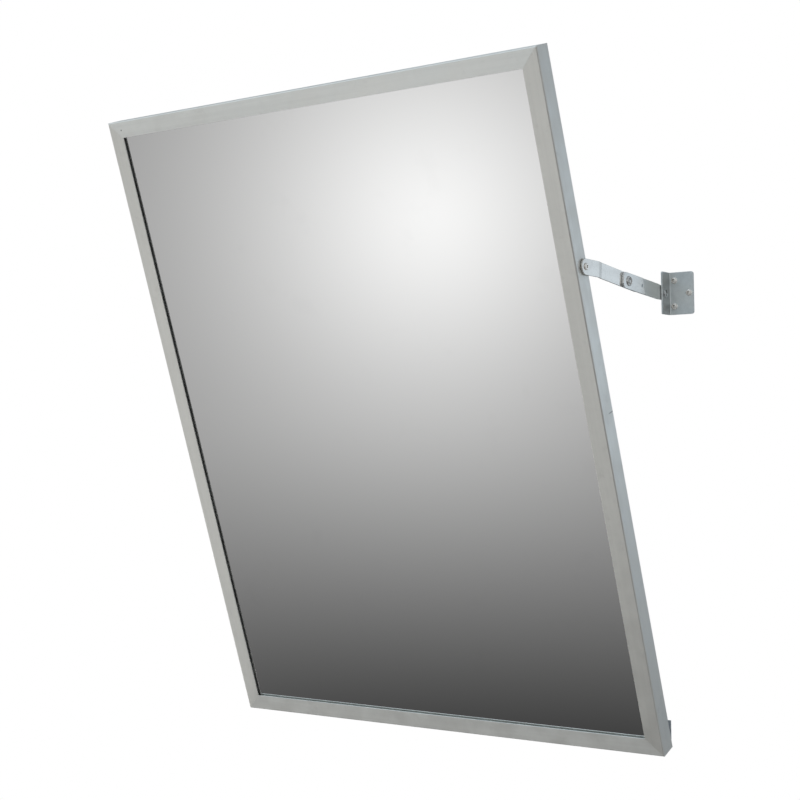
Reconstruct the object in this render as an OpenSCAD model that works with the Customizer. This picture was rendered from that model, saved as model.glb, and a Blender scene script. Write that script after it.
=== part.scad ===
// Pivot wall mirror: a framed mirror on a bottom hinge, held open by two folding stays.
// X runs to the right, Y runs into the wall, Z runs up, all in millimetres.
// The wall's face is the plane Y = 0. The origin lies on it, in the row of hinge screw holes.

/* [Mirror] */
// Width of the mirror over its frame
mirror_w = 600; // [420:1:900]
// Height of the mirror over its frame
mirror_h = 780; // [600:1:1100]
// Depth of the frame's side
frame_d = 24; // [22:0.5:32]
// Width of the frame's front face
face_w = 20; // [18:0.5:30]
// Thickness of the frame's sheet
sheet_t = 1; // [0.8:0.1:1.3]
// Outside radius of the frame's bends
bend_r = 1.5; // [1.4:0.1:2.5]
// Width of the flange behind the sides and the top
return_w = 26; // [25:1:34]
// Width of the flange behind the bottom, which carries the hinge
return_bottom_w = 38; // [38:1:44]
// Open seam at each mitre
mitre_gap = 0.3; // [0.1:0.1:0.5]
// Thickness of the glass
glass_t = 4; // [3:0.5:6]
// Thickness of the tape between the frame's face and the glass
tape_t = 2; // [1:0.5:2.5]
// Width of the tape
tape_w = 5; // [3:0.5:8]
// How far the tape stays back from the face's inner edge
tape_setback = 2; // [1:0.5:4]
// Thickness of the foam behind the glass
foam_t = 3; // [2:0.5:4]

/* [Back] */
// Thickness of the galvanised back plate
back_t = 1; // [0.8:0.1:2]
// Margin from the mirror's edge to the back plate
back_margin = 6; // [4:0.5:8]
// Gap between the hinge's leaf and the back plate
back_seam = 1.5; // [0.5:0.1:3]
// Distance of the lowest screws from the back plate's bottom edge
back_screw_edge = 4; // [4:0.5:6]
// Distance of the back plate's screws from the mirror's edge
back_screw_in = 12; // [11:0.5:14]
// Screws along the top and along the bottom of the back plate
back_screws_across = 3; // [2:1:5]
// Screws along each side of the back plate
back_screws_up = 4; // [2:1:6]
// Shank radius of the back plate's screws
back_screw_r = 1.9; // [1.5:0.1:2.2]
// Head height of the back plate's screws
back_screw_head_h = 1.6; // [1:0.1:2.4]
// Length of the back plate's screws under the head
back_screw_len = 6; // [4:0.5:7]
// Width of the legs of the corner plates
corner_leg_w = 12; // [11:0.5:14]
// Length of the legs of the corner plates
corner_leg = 60; // [50:1:90]
// Thickness of the corner plates
corner_t = 2; // [1.5:0.1:3]
// Distance of the corner plates' last rivets from the legs' ends
corner_rivet_end = 8; // [6:0.5:10]
// Shank radius of the rivets in the corner plates
corner_rivet_r = 2; // [1.5:0.1:2.2]
// Radius of the rubber bumpers
bumper_r = 9; // [6:0.5:12]
// Distance of the bumpers from the mirror's edges
bumper_in = 45; // [30:1:80]
// Gap between the closed mirror's bumpers and the wall
bumper_gap = 0.3; // [0.3:0.1:1]

/* [Bottom hinge] */
// Distance from the mirror's edge to the hinge's end
hinge_in = 4; // [1:0.5:20]
// Number of hinge knuckles, an odd number
knuckles = 15; // [5:2:21]
// Outside radius of the knuckles
knuckle_r = 3; // [2.8:0.1:3.5]
// Radius of the hinge pin
pin_r = 1.5; // [1.2:0.1:1.7]
// Thickness of the hinge's leaves
leaf_t = 1.5; // [1:0.1:1.5]
// Height of a leaf from the pin's axis to its edge
leaf_h = 23.5; // [23:0.5:27]
// Height of the wall leaf's screw holes above the pin's axis
hole_rise = 13; // [10:0.5:16]
// Radius of the wall leaf's screw holes
wall_hole_r = 2.4; // [1.8:0.1:3]
// Distance between the two outer screw holes
outer_hole_gap = 510; // [200:1:560]
// Distance between the two inner screw holes
inner_hole_gap = 170; // [60:1:180]
// Height of the frame leaf's rivets above the pin's axis
rivet_rise = 15; // [14:0.5:18]
// Number of rivets that hold the frame leaf
hinge_rivets_n = 8; // [4:1:12]
// Shank radius of those rivets
hinge_rivet_r = 2; // [1.5:0.1:2.2]

/* [Tilt and pivots] */
// Tilt of the mirror when the stays are straight, in degrees
open_tilt = 19.1; // [14:0.1:24]
// Distance of the mirror pivot below the mirror's top edge
pivot_drop = 229; // [180:1:260]
// Distance of the mirror pivot behind the frame's face
pivot_depth = 16.5; // [14:0.5:17]
// Distance of the wall pivot below the mirror pivot when the mirror is closed
pivot_fall = 47.6; // [44:0.1:60]
// Radius of the mirror pivot's screw
pivot_screw_r = 2.5; // [2:0.1:2.6]
// Radius of that screw's head
pivot_head_r = 3.8; // [3.5:0.1:5.5]
// Height of that screw's head
pivot_head_h = 1.5; // [1:0.1:3.5]
// Thickness of the plate that stiffens the frame's side behind the pivot
pivot_plate_t = 2; // [1.5:0.1:3]
// Height of that plate
pivot_plate_h = 44; // [30:1:60]
// Height of the pivot's nut
pivot_nut_h = 4; // [3:0.1:5]

/* [Folding stays] */
// Thickness of both links
link_t = 1.5; // [1.2:0.1:2]
// Width of the mirror link
mirror_link_w = 17; // [15:0.5:19]
// Width of the wall link
wall_link_w = 17.6; // [15:0.5:20]
// Distance from the mirror pivot to the crease in the mirror link
crease_at = 28.5; // [24:0.5:32]
// Sideways offset of the mirror link's centre line at its crease
crease_rise = 1.9; // [0:0.1:3]
// Thickness of the washers on the mirror pivot
washer_t = 0.9; // [0.6:0.1:1.4]
// Radius of the washers on the mirror pivot
washer_r = 5.6; // [5:0.1:6]
// Gap between the mirror link and the frame's side past its crease
side_gap = 0.3; // [0.3:0.1:0.6]
// Gap between the two links where they lap
lap_gap = 0.3; // [0.3:0.1:0.5]
// Radius of the knuckle rivet between the links
knuckle_rivet_r = 3; // [2:0.1:4]
// Length of the wall link's tapered end
link_taper = 14; // [10:0.5:18]
// How much narrower the wall link's round end is on either side
link_narrowing = 1.2; // [0.2:0.1:1.8]
// Length of the wall link past the knuckle rivet
link_tail = 32.5; // [28:0.5:40]
// Thickness of the detent spring
spring_t = 0.7; // [0.4:0.1:1]
// Length of the detent spring from the wall link's tail end
spring_len = 49; // [42:0.5:54]
// How far the spring's slanted end runs past its middle and short of it
spring_slant = 3.1; // [0:0.1:4]
// Distance from the spring's slanted end to its rivet
spring_rivet_in = 4.4; // [4:0.1:8]
// Distance from the wall link's tail end to the detent stud
stud_in = 12.8; // [11:0.1:16]
// Radius of the detent stud's head
stud_head_r = 5.4; // [4:0.1:6]
// Height of the detent stud's head
stud_head_h = 1.7; // [1.2:0.1:2.5]
// Radius of the detent stud's nose
stud_nose_r = 3; // [2:0.1:3.5]
// Radius of the rivet that holds the detent spring
spring_rivet_r = 1.4; // [1:0.1:2]

/* [Wall brackets] */
// Width of the bracket's plate, from the flange's outer face
plate_w = 29; // [28:0.5:40]
// Height of the bracket
bracket_h = 48; // [42:1:70]
// Distance that the flange stands out from the wall
flange_out = 20.5; // [19:0.5:30]
// Thickness of the bracket
bracket_t = 1.8; // [1.5:0.1:2.5]
// Corner radius of the bracket's plate
plate_corner_r = 3; // [1:0.5:5]
// Corner radius of the bracket's flange
flange_corner_r = 1.5; // [1:0.5:4]
// Thickness of the shim washer on the wall pivot
shim_t = 0.5; // [0.3:0.1:1]
// Radius of the wall pivot's rivet
wall_rivet_r = 2.5; // [2:0.1:3]
// Radius of the wall pivot rivet's inner head, sunk in the link
sunk_head_r = 4; // [3.6:0.1:5]
// Depth that this head is sunk
sunk_head_h = 0.8; // [0.5:0.1:1]
// Radius of the wall pivot rivet's outer head
wall_rivet_head_r = 5; // [4:0.1:6]
// Height of the wall pivot rivet's outer head
wall_rivet_head_h = 1.8; // [1.2:0.1:2.5]
// Distance from the flange to the inner pair of wall screws
screw_in = 5.6; // [5.5:0.1:8]
// Distance from the flange to the outer wall screw
screw_out = 23.5; // [20:0.5:25]
// Distance between the inner pair of wall screws
screw_pair_gap = 29.2; // [26:0.1:50]
// Thread radius of the wall screws
wall_screw_r = 2.2; // [1.6:0.1:2.4]
// Radius of the wall screws' plain neck in the bracket's plate
wall_screw_neck_r = 2.6; // [2.5:0.1:3]
// Head radius of the wall screws
wall_screw_head_r = 3.7; // [3.3:0.1:4.2]
// Head height of the wall screws
wall_screw_head_h = 2.6; // [2:0.1:3.2]
// Length of the wall screws behind the wall's face
wall_screw_len = 9; // [6:1:40]
// Length of their points
wall_screw_tip = 2; // [1:0.5:5]

/* [Hidden] */
$fn = 48;
// Overlap that lets a cutter pass a face
cut = 1;
// Clearance of fasteners in the sheet that they clamp
clamp_gap = 0.05;
// Running clearance round a pin
run_gap = 0.05;
// Gap on either face of a turning link
face_gap = 0.1;

// Hinge axis, in the part's own frame
axis_y = -knuckle_r;
axis_z = -hole_rise;
// Height of the hinge axis above the mirror's bottom edge
axis_rise = knuckle_r;
// Mirror pivot, from the hinge axis: along the mirror and in front of the axis
pivot_up = mirror_h - pivot_drop - axis_rise;
pivot_fore = frame_d + knuckle_r - pivot_depth;
// Mirror pivot when the mirror stands open
open_y = axis_y - pivot_up * sin(open_tilt) - pivot_fore * cos(open_tilt);
open_z = axis_z + pivot_up * cos(open_tilt) - pivot_fore * sin(open_tilt);
// Wall pivot, straight under the closed mirror pivot so that the links fold upright
wall_y = axis_y - pivot_fore;
wall_z = axis_z + pivot_up - pivot_fall;
// Straight stays reach the open pivot, folded stays reach the closed one
reach = norm([open_y - wall_y, open_z - wall_z]);
mirror_link_len = (reach + pivot_fall) / 2;
wall_link_len = (reach - pivot_fall) / 2;
// Slope of the straight stay, from the mirror pivot to the wall pivot
stay_angle = atan2(wall_z - open_z, wall_y - open_y);

// Layers of a stay, counted outwards from the frame's side
side_x = mirror_w / 2;
pivot_link_x = washer_t + face_gap;
pivot_head_x = pivot_link_x + link_t + face_gap;
lap_x = side_gap;
wall_link_x = side_gap + link_t + lap_gap;
spring_x = wall_link_x + link_t;
flange_x = spring_x + shim_t + 2 * run_gap;
bracket_x = flange_x + bracket_t;

// Layers of the mirror, counted back from the frame's face
glass_y = sheet_t + tape_t;
foam_y = glass_y + glass_t;
board_y = foam_y + foam_t;
return_y = frame_d - sheet_t;
// Edges of the inner layers, counted in from the frame's outside
glass_in = 2;
foam_in = 6;
board_in = 20;
// Bottom edge of the back plate, just above the hinge's leaf
back_low = axis_rise + leaf_h + back_seam;
// Row of the back plate's bottom screws, and the board's bottom edge clear of them
back_low_screw = back_low + back_screw_edge;
board_low = back_low_screw + back_screw_r + 1;
// Length of the hinge and row of its rivets
hinge_len = mirror_w - 2 * hinge_in;
hinge_rivet_z = axis_rise + rivet_rise;
// Rivets in a corner plate, along its leg from the corner
corner_rivet_spots = [2 * corner_leg_w, corner_leg - corner_rivet_end];
corner_plate_in = 1.5;
corner_rivet_in = corner_plate_in + corner_leg_w / 2;
flush_head = 0.7;

// Places along a row of n, from first to last
function row(first, last, n) = [for (i = [0:n - 1]) first + (last - first) * i / (n - 1)];

screw_row_first = 75;
side_row_first = 95;
back_screw_spots = concat(
  [for (x = row(screw_row_first, mirror_w - screw_row_first, back_screws_across))
    each [[x, mirror_h - back_screw_in], [x, back_low_screw]]],
  [for (z = row(side_row_first, mirror_h - side_row_first, back_screws_up))
    each [[back_screw_in, z], [mirror_w - back_screw_in, z]]]);
corner_spots = [for (s = corner_rivet_spots) each [
  [s, corner_rivet_in], [corner_rivet_in, s],
  [mirror_w - s, corner_rivet_in], [mirror_w - corner_rivet_in, s],
  [s, mirror_h - corner_rivet_in], [corner_rivet_in, mirror_h - s],
  [mirror_w - s, mirror_h - corner_rivet_in], [mirror_w - corner_rivet_in, mirror_h - s]]];
hinge_rivet_margin = 40;
hinge_rivet_spots = [for (x = row(hinge_rivet_margin, hinge_len - hinge_rivet_margin, hinge_rivets_n))
  [x + (mirror_w - hinge_len) / 2, hinge_rivet_z]];

// Colours
steel = [0.74, 0.75, 0.76];
dull_steel = [0.55, 0.57, 0.58];
zinc = [0.52, 0.56, 0.57];
bright = [0.83, 0.82, 0.79];

// ---- Places and directions ----

// From the mirror's own frame to the part's: x across, y back from the face, z up the mirror
module on_mirror() {
  translate([0, axis_y, axis_z])
    rotate([open_tilt, 0, 0])
      translate([-mirror_w / 2, -frame_d - knuckle_r, -axis_rise])
        children();
}

// A shape on the left is the mirror image of the one on the right
module on_left() {
  mirror([1, 0, 0]) children();
}

// Outline in the Y-Z plane, given a thickness along X
module slab(x, t) {
  translate([x, 0, 0]) rotate([90, 0, 90]) linear_extrude(t) children();
}

// Local Z turned to point along +X, along +Y or along -Y
module to_right() {
  rotate([0, 90, 0]) children();
}

module to_back() {
  rotate([-90, 0, 0]) children();
}

module to_front() {
  rotate([90, 0, 0]) children();
}

// Right stay's frames: at the open mirror pivot and at the wall pivot, Y along the stay
module at_mirror_pivot() {
  translate([side_x, open_y, open_z]) rotate([stay_angle, 0, 0]) children();
}

module at_wall_pivot() {
  translate([side_x, wall_y, wall_z]) rotate([stay_angle, 0, 0]) children();
}

// ---- Fasteners ----

// Round head with a domed top, standing on Z = 0
module dome_head(r, h) {
  rim = h * 0.45;
  dome_r = (r * r + pow(h - rim, 2)) / (2 * (h - rim));
  intersection() {
    cylinder(r = r, h = h);
    translate([0, 0, h - dome_r]) sphere(dome_r, $fn = 96);
  }
}

// Screw with a domed head and a hexagon socket, its head on Z = 0 and its shank below
module socket_screw(r, len, head_r, head_h, socket_r) {
  difference() {
    union() {
      dome_head(head_r, head_h);
      translate([0, 0, -len]) cylinder(r = r, h = len + head_h / 4);
    }
    translate([0, 0, head_h * 0.35]) cylinder(r = socket_r, h = head_h, $fn = 6);
  }
}

// ---- Frame ----

// Section of a channel: x is the depth behind the face, y runs in from the outside
module channel_section(flange_w) {
  translate([0, bend_r]) square([sheet_t, face_w - bend_r]);
  translate([bend_r, 0]) square([frame_d - 2 * bend_r, sheet_t]);
  translate([frame_d - sheet_t, bend_r]) square([sheet_t, flange_w - bend_r]);
  translate([bend_r, bend_r]) bend_section();
  translate([frame_d - bend_r, bend_r]) mirror([1, 0]) bend_section();
}

module bend_section() {
  intersection() {
    difference() {
      circle(bend_r);
      circle(bend_r - sheet_t);
    }
    translate([-bend_r, -bend_r]) square(bend_r);
  }
}

// One mitred side of the frame, along X from the origin, its outside on Z = 0
module channel(len, flange_w) {
  seam = mitre_gap / sqrt(2);
  intersection() {
    rotate([90, 0, 90]) linear_extrude(len) channel_section(flange_w);
    translate([0, frame_d + cut, 0]) rotate([90, 0, 0]) linear_extrude(frame_d + 2 * cut)
      polygon([[seam, 0], [len - seam, 0], [len - seam - flange_w, flange_w], [seam + flange_w, flange_w]]);
  }
}

// Holes through the back flange for the plate's screws, the corner rivets and the hinge's rivets
module flange_holes(spots, r) {
  for (p = spots)
    translate([p[0], return_y - cut, p[1]]) to_back() cylinder(r = r, h = sheet_t + 2 * cut);
}

module fastener_holes() {
  flange_holes(back_screw_spots, back_screw_r + clamp_gap);
  flange_holes(corner_spots, corner_rivet_r + clamp_gap);
}

module pivot_hole(x) {
  translate([x, pivot_depth, mirror_h - pivot_drop])
    rotate([0, 90, 0]) cylinder(r = pivot_screw_r + clamp_gap, h = 4 * sheet_t, center = true);
}

module frame_bottom() {
  color(steel) on_mirror() difference() {
    channel(mirror_w, return_bottom_w);
    fastener_holes();
    flange_holes(hinge_rivet_spots, hinge_rivet_r + clamp_gap);
  }
}

module frame_top() {
  color(steel) on_mirror() difference() {
    translate([mirror_w, 0, mirror_h]) rotate([0, 180, 0]) channel(mirror_w, return_w);
    fastener_holes();
  }
}

module frame_left() {
  color(steel) on_mirror() difference() {
    translate([0, 0, mirror_h]) rotate([0, 90, 0]) channel(mirror_h, return_w);
    fastener_holes();
    pivot_hole(0);
  }
}

module frame_right() {
  color(steel) on_mirror() difference() {
    translate([mirror_w, 0, 0]) rotate([0, -90, 0]) channel(mirror_h, return_w);
    fastener_holes();
    pivot_hole(mirror_w);
  }
}

// Flat angle that joins two sides behind each mitre
module corner_plates() {
  plate_y = return_y - corner_t;
  low = corner_plate_in;
  color(zinc) on_mirror() difference() {
    for (right = [0, 1], top = [0, 1])
      translate([right * mirror_w, plate_y, top * mirror_h])
        mirror([right, 0, 0]) mirror([0, 0, top]) union() {
          translate([low, 0, low]) cube([corner_leg, corner_t, corner_leg_w]);
          translate([low, 0, low]) cube([corner_leg_w, corner_t, corner_leg]);
        }
    for (p = corner_spots)
      translate([p[0], plate_y - cut, p[1]]) to_back()
        cylinder(r = corner_rivet_r + clamp_gap, h = corner_t + 2 * cut);
  }
}

module corner_rivets() {
  head_y = return_y - corner_t - flush_head;
  color(bright) on_mirror() for (p = corner_spots)
    translate([p[0], head_y, p[1]]) to_back() {
      cylinder(r = corner_rivet_r * 1.5, h = flush_head);
      cylinder(r = corner_rivet_r, h = frame_d - head_y);
    }
}

// ---- Glass and back ----

// Sheet that keeps the same margin from all four outside edges
module inner_sheet(y, t, margin) {
  translate([margin, y, margin]) cube([mirror_w - 2 * margin, t, mirror_h - 2 * margin]);
}

module mirror_glass() {
  color([0.86, 0.89, 0.9]) on_mirror() inner_sheet(glass_y, glass_t, glass_in);
}

module glazing_tape() {
  outer = face_w - tape_setback - tape_w;
  color([0.1, 0.1, 0.1]) on_mirror() {
    for (z = [outer, mirror_h - outer - tape_w])
      translate([outer, sheet_t, z]) cube([mirror_w - 2 * outer, tape_t, tape_w]);
    for (x = [outer, mirror_w - outer - tape_w])
      translate([x, sheet_t, outer + tape_w]) cube([tape_w, tape_t, mirror_h - 2 * (outer + tape_w)]);
  }
}

module backing_foam() {
  color([0.85, 0.85, 0.82]) on_mirror() inner_sheet(foam_y, foam_t, foam_in);
}

module support_board() {
  color([0.72, 0.6, 0.45]) on_mirror() translate([board_in, board_y, board_low])
    cube([mirror_w - 2 * board_in, return_y - board_y, mirror_h - board_in - board_low]);
}

module back_plate() {
  color(zinc) on_mirror() difference() {
    translate([back_margin, frame_d, back_low])
      cube([mirror_w - 2 * back_margin, back_t, mirror_h - back_margin - back_low]);
    for (p = back_screw_spots)
      translate([p[0], frame_d - cut, p[1]]) to_back()
        cylinder(r = back_screw_r + clamp_gap, h = back_t + 2 * cut);
  }
}

module back_plate_screws() {
  head_r = back_screw_r * 1.8;
  socket_r = back_screw_r * 0.63;
  color(bright) on_mirror() for (p = back_screw_spots)
    translate([p[0], frame_d + back_t, p[1]]) to_back()
      socket_screw(back_screw_r, back_screw_len, head_r, back_screw_head_h, socket_r);
}

// Two pads that meet the wall when the mirror is closed
module rear_bumpers() {
  bumper_t = 2 * knuckle_r - back_t - bumper_gap;
  color([0.12, 0.12, 0.12]) on_mirror() for (x = [bumper_in, mirror_w - bumper_in])
    translate([x, frame_d + back_t, mirror_h - bumper_in]) to_back() cylinder(r = bumper_r, h = bumper_t);
}

// ---- Bottom hinge ----

knuckle_pitch = hinge_len / knuckles;
knuckle_gap = 0.3;
leaf_clear = 0.4;

// Leaf with its pin on the X axis: the leaf rises along Z and its outer face lies on Y = knuckle_r
module hinge_leaf(first) {
  difference() {
    union() {
      translate([-hinge_len / 2, knuckle_r - leaf_t, knuckle_r + leaf_clear])
        cube([hinge_len, leaf_t, leaf_h - knuckle_r - leaf_clear]);
      for (i = [first:2:knuckles - 1])
        translate([-hinge_len / 2 + i * knuckle_pitch + knuckle_gap / 2, 0, 0]) {
          to_right() cylinder(r = knuckle_r, h = knuckle_pitch - knuckle_gap);
          translate([0, knuckle_r - leaf_t, 0])
            cube([knuckle_pitch - knuckle_gap, leaf_t, knuckle_r + leaf_clear + cut]);
        }
    }
    translate([-hinge_len / 2 - cut, 0, 0]) to_right()
      cylinder(r = pin_r + run_gap, h = hinge_len + 2 * cut);
  }
}

module hinge_wall_leaf() {
  color(dull_steel) difference() {
    translate([0, axis_y, axis_z]) hinge_leaf(0);
    for (x = [-outer_hole_gap / 2, -inner_hole_gap / 2, inner_hole_gap / 2, outer_hole_gap / 2])
      translate([x, -leaf_t - cut, 0]) to_back() cylinder(r = wall_hole_r, h = leaf_t + 2 * cut);
  }
}

module hinge_frame_leaf() {
  color(dull_steel) difference() {
    translate([0, axis_y, axis_z]) rotate([open_tilt, 0, 0]) mirror([0, 1, 0]) hinge_leaf(1);
    on_mirror() for (p = hinge_rivet_spots)
      translate([p[0], frame_d - cut, p[1]]) to_back()
        cylinder(r = hinge_rivet_r + clamp_gap, h = leaf_t + 2 * cut);
  }
}

module hinge_pin() {
  color(bright) translate([-hinge_len / 2, axis_y, axis_z]) to_right() cylinder(r = pin_r, h = hinge_len);
}

module hinge_rivets() {
  head_h = 1.1;
  color(bright) on_mirror() for (p = hinge_rivet_spots)
    translate([p[0], 0, p[1]]) {
      translate([0, frame_d + leaf_t, 0]) to_back() dome_head(hinge_rivet_r * 1.6, head_h);
      translate([0, return_y, 0]) to_back() cylinder(r = hinge_rivet_r, h = sheet_t + leaf_t + head_h / 4);
      translate([0, return_y - head_h, 0]) to_back() cylinder(r = hinge_rivet_r * 1.3, h = head_h);
    }
}

// ---- Wall brackets ----

// Section across the bracket: x outwards from the frame's side, y into the wall
module bracket_section() {
  inner_r = 1;
  outer_r = inner_r + bracket_t;
  end_x = bracket_x + plate_w;
  translate([flange_x, -flange_out]) square([bracket_t, flange_out - outer_r]);
  translate([flange_x + outer_r, -bracket_t]) square([end_x - flange_x - outer_r, bracket_t]);
  translate([flange_x + outer_r, -outer_r]) intersection() {
    difference() {
      circle(outer_r);
      circle(inner_r);
    }
    translate([-outer_r, 0]) square(outer_r);
  }
}

module wall_bracket() {
  rivet_hole = wall_rivet_r + clamp_gap;
  translate([side_x, 0, wall_z]) difference() {
    intersection() {
      translate([0, 0, -bracket_h / 2]) linear_extrude(bracket_h) bracket_section();
      slab(0, bracket_x + plate_w + cut) flange_outline();
      translate([0, cut, 0]) to_front() linear_extrude(flange_out + 2 * cut) plate_outline();
    }
    translate([0, wall_y, 0]) to_right() cylinder(r = rivet_hole, h = bracket_x + cut);
    for (s = bracket_screw_spots)
      translate([s[0], cut, s[1]]) to_front()
        cylinder(r = wall_screw_neck_r + clamp_gap, h = bracket_t + 2 * cut);
  }
}

// Side view of the bracket: the flange's two free corners are round
module flange_outline() {
  half = bracket_h / 2;
  r = flange_corner_r;
  translate([-flange_out + r, -half]) square([flange_out - r + cut, bracket_h]);
  translate([-flange_out, -half + r]) square([flange_out, bracket_h - 2 * r]);
  for (s = [-1, 1]) translate([-flange_out + r, s * (half - r)]) circle(r);
}

// Front view of the bracket: the plate's two free corners are round
module plate_outline() {
  half = bracket_h / 2;
  r = plate_corner_r;
  end_x = bracket_x + plate_w;
  translate([0, -half]) square([end_x - r, bracket_h]);
  translate([0, -half + r]) square([end_x, bracket_h - 2 * r]);
  for (s = [-1, 1]) translate([end_x - r, s * (half - r)]) circle(r);
}

bracket_screw_spots = [
  [bracket_x + screw_in, screw_pair_gap / 2],
  [bracket_x + screw_in, -screw_pair_gap / 2],
  [bracket_x + screw_out, 0]
];

// Short screws through the plate into an insert in the wall; their shanks stand out behind its face
module bracket_screws() {
  thread_len = wall_screw_len - wall_screw_tip;
  socket_r = wall_screw_head_r * 0.375;
  tip_r = 0.4;
  for (s = bracket_screw_spots)
    translate([side_x + s[0], 0, wall_z + s[1]]) {
      translate([0, -bracket_t, 0]) to_front()
        socket_screw(wall_screw_neck_r, bracket_t, wall_screw_head_r, wall_screw_head_h, socket_r);
      to_back() cylinder(r = wall_screw_r, h = thread_len);
      translate([0, thread_len, 0]) to_back() cylinder(r1 = wall_screw_r, r2 = tip_r, h = wall_screw_tip);
    }
}

// The rivet's inner head is sunk in the link, because the mirror link passes over it
module wall_pivot_rivet() {
  head_h = wall_rivet_head_h;
  inner_x = wall_link_x + run_gap;
  dish_r = wall_rivet_r * 0.8;
  at_wall_pivot() difference() {
    union() {
      translate([inner_x, 0, 0]) to_right()
        cylinder(r = sunk_head_r, h = sunk_head_h - 2 * run_gap);
      translate([inner_x, 0, 0]) to_right()
        cylinder(r = wall_rivet_r, h = bracket_x + head_h / 4 - inner_x);
      translate([bracket_x, 0, 0]) to_right() dome_head(wall_rivet_head_r, head_h);
    }
    translate([bracket_x + head_h * 0.4, 0, 0]) to_right() cylinder(r = dish_r, h = head_h);
  }
}

module wall_pivot_washer() {
  at_wall_pivot() translate([spring_x + run_gap, 0, 0]) to_right() difference() {
    cylinder(r = washer_r, h = shim_t);
    translate([0, 0, -cut]) cylinder(r = wall_rivet_r + run_gap, h = shim_t + 2 * cut);
  }
}

// ---- Folding stays ----

// Y along the stay at the wall link's tail end, and at the parts that are set out from it
tail_y = -wall_link_len - link_tail;
stud_y = tail_y + stud_in;
spring_end_y = tail_y + spring_len;
spring_rivet_y = spring_end_y - spring_rivet_in;
corner_r = 5.5;

// Strip from y1 to y2 with round corners at y1
module blunt_strip(y1, y2, w, r) {
  translate([y1 + r, -w / 2]) square([y2 - y1 - r, w]);
  translate([y1, -w / 2 + r]) square([2 * r, w - 2 * r]);
  for (s = [-1, 1]) translate([y1 + r, s * (w / 2 - r)]) circle(r);
}

// Wall link, from its tail past the knuckle to its round, slightly narrowed end on the wall pivot
module wall_link() {
  half = wall_link_w / 2;
  end_r = half - link_narrowing;
  at_wall_pivot() difference() {
    slab(wall_link_x, link_t) {
      blunt_strip(tail_y, -link_taper, wall_link_w, corner_r);
      polygon([[-link_taper - cut, -half], [-link_taper, -half], [0, -end_r],
        [0, end_r], [-link_taper, half], [-link_taper - cut, half]]);
      circle(end_r);
    }
    translate([wall_link_x - cut, 0, 0]) to_right()
      cylinder(r = wall_rivet_r + run_gap, h = link_t + 2 * cut);
    translate([wall_link_x - cut, 0, 0]) to_right()
      cylinder(r = sunk_head_r + run_gap, h = sunk_head_h + cut);
    translate([wall_link_x - cut, -wall_link_len, 0]) to_right()
      cylinder(r = knuckle_rivet_r + clamp_gap, h = link_t + 2 * cut);
    translate([wall_link_x - cut, stud_y, 0]) to_right()
      cylinder(r = stud_nose_r + 2 * face_gap, h = link_t + 2 * cut);
    translate([wall_link_x - cut, spring_rivet_y, 0]) to_right()
      cylinder(r = spring_rivet_r + clamp_gap, h = link_t + 2 * cut);
  }
}

// The knuckle's rivet is parted at the lap, so that each half turns with its own link
module knuckle_rivet() {
  at_wall_pivot() translate([wall_link_x, -wall_link_len, 0]) to_right()
    cylinder(r = knuckle_rivet_r, h = link_t);
}

module knuckle_tail() {
  at_mirror_pivot() translate([lap_x, mirror_link_len, 0]) to_right()
    cylinder(r = knuckle_rivet_r, h = link_t);
}

// Spring plate on the wall link, its wall end cut on a slant
module detent_spring() {
  half = wall_link_w / 2;
  body_end = spring_end_y - spring_slant;
  at_wall_pivot() difference() {
    slab(spring_x, spring_t) {
      blunt_strip(tail_y, body_end, wall_link_w, corner_r);
      polygon([[body_end - cut, -half], [spring_end_y + spring_slant, -half],
        [body_end, half], [body_end - cut, half]]);
    }
    translate([spring_x - cut, stud_y, 0]) to_right()
      cylinder(r = stud_nose_r + clamp_gap, h = spring_t + 2 * cut);
    translate([spring_x - cut, spring_rivet_y, 0]) to_right()
      cylinder(r = spring_rivet_r + clamp_gap, h = spring_t + 2 * cut);
  }
}

// Stud that snaps the straight stay open: a nose through the wall link and a dished head
module detent_stud() {
  head_h = stud_head_h;
  dish_r = stud_head_r * 0.62;
  at_wall_pivot() translate([0, stud_y, 0]) difference() {
    union() {
      translate([wall_link_x + face_gap, 0, 0]) to_right()
        cylinder(r = stud_nose_r, h = spring_x + spring_t + head_h / 4 - wall_link_x - face_gap);
      translate([spring_x + spring_t, 0, 0]) to_right() dome_head(stud_head_r, head_h);
    }
    translate([spring_x + spring_t + head_h * 0.5, 0, 0]) to_right() cylinder(r = dish_r, h = head_h);
  }
}

module spring_rivet() {
  head_h = 0.5;
  at_wall_pivot() translate([wall_link_x, spring_rivet_y, 0]) {
    to_right() cylinder(r = spring_rivet_r, h = link_t + spring_t + head_h / 4);
    translate([link_t + spring_t, 0, 0]) to_right() dome_head(spring_rivet_r * 1.2, head_h);
  }
}

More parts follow.
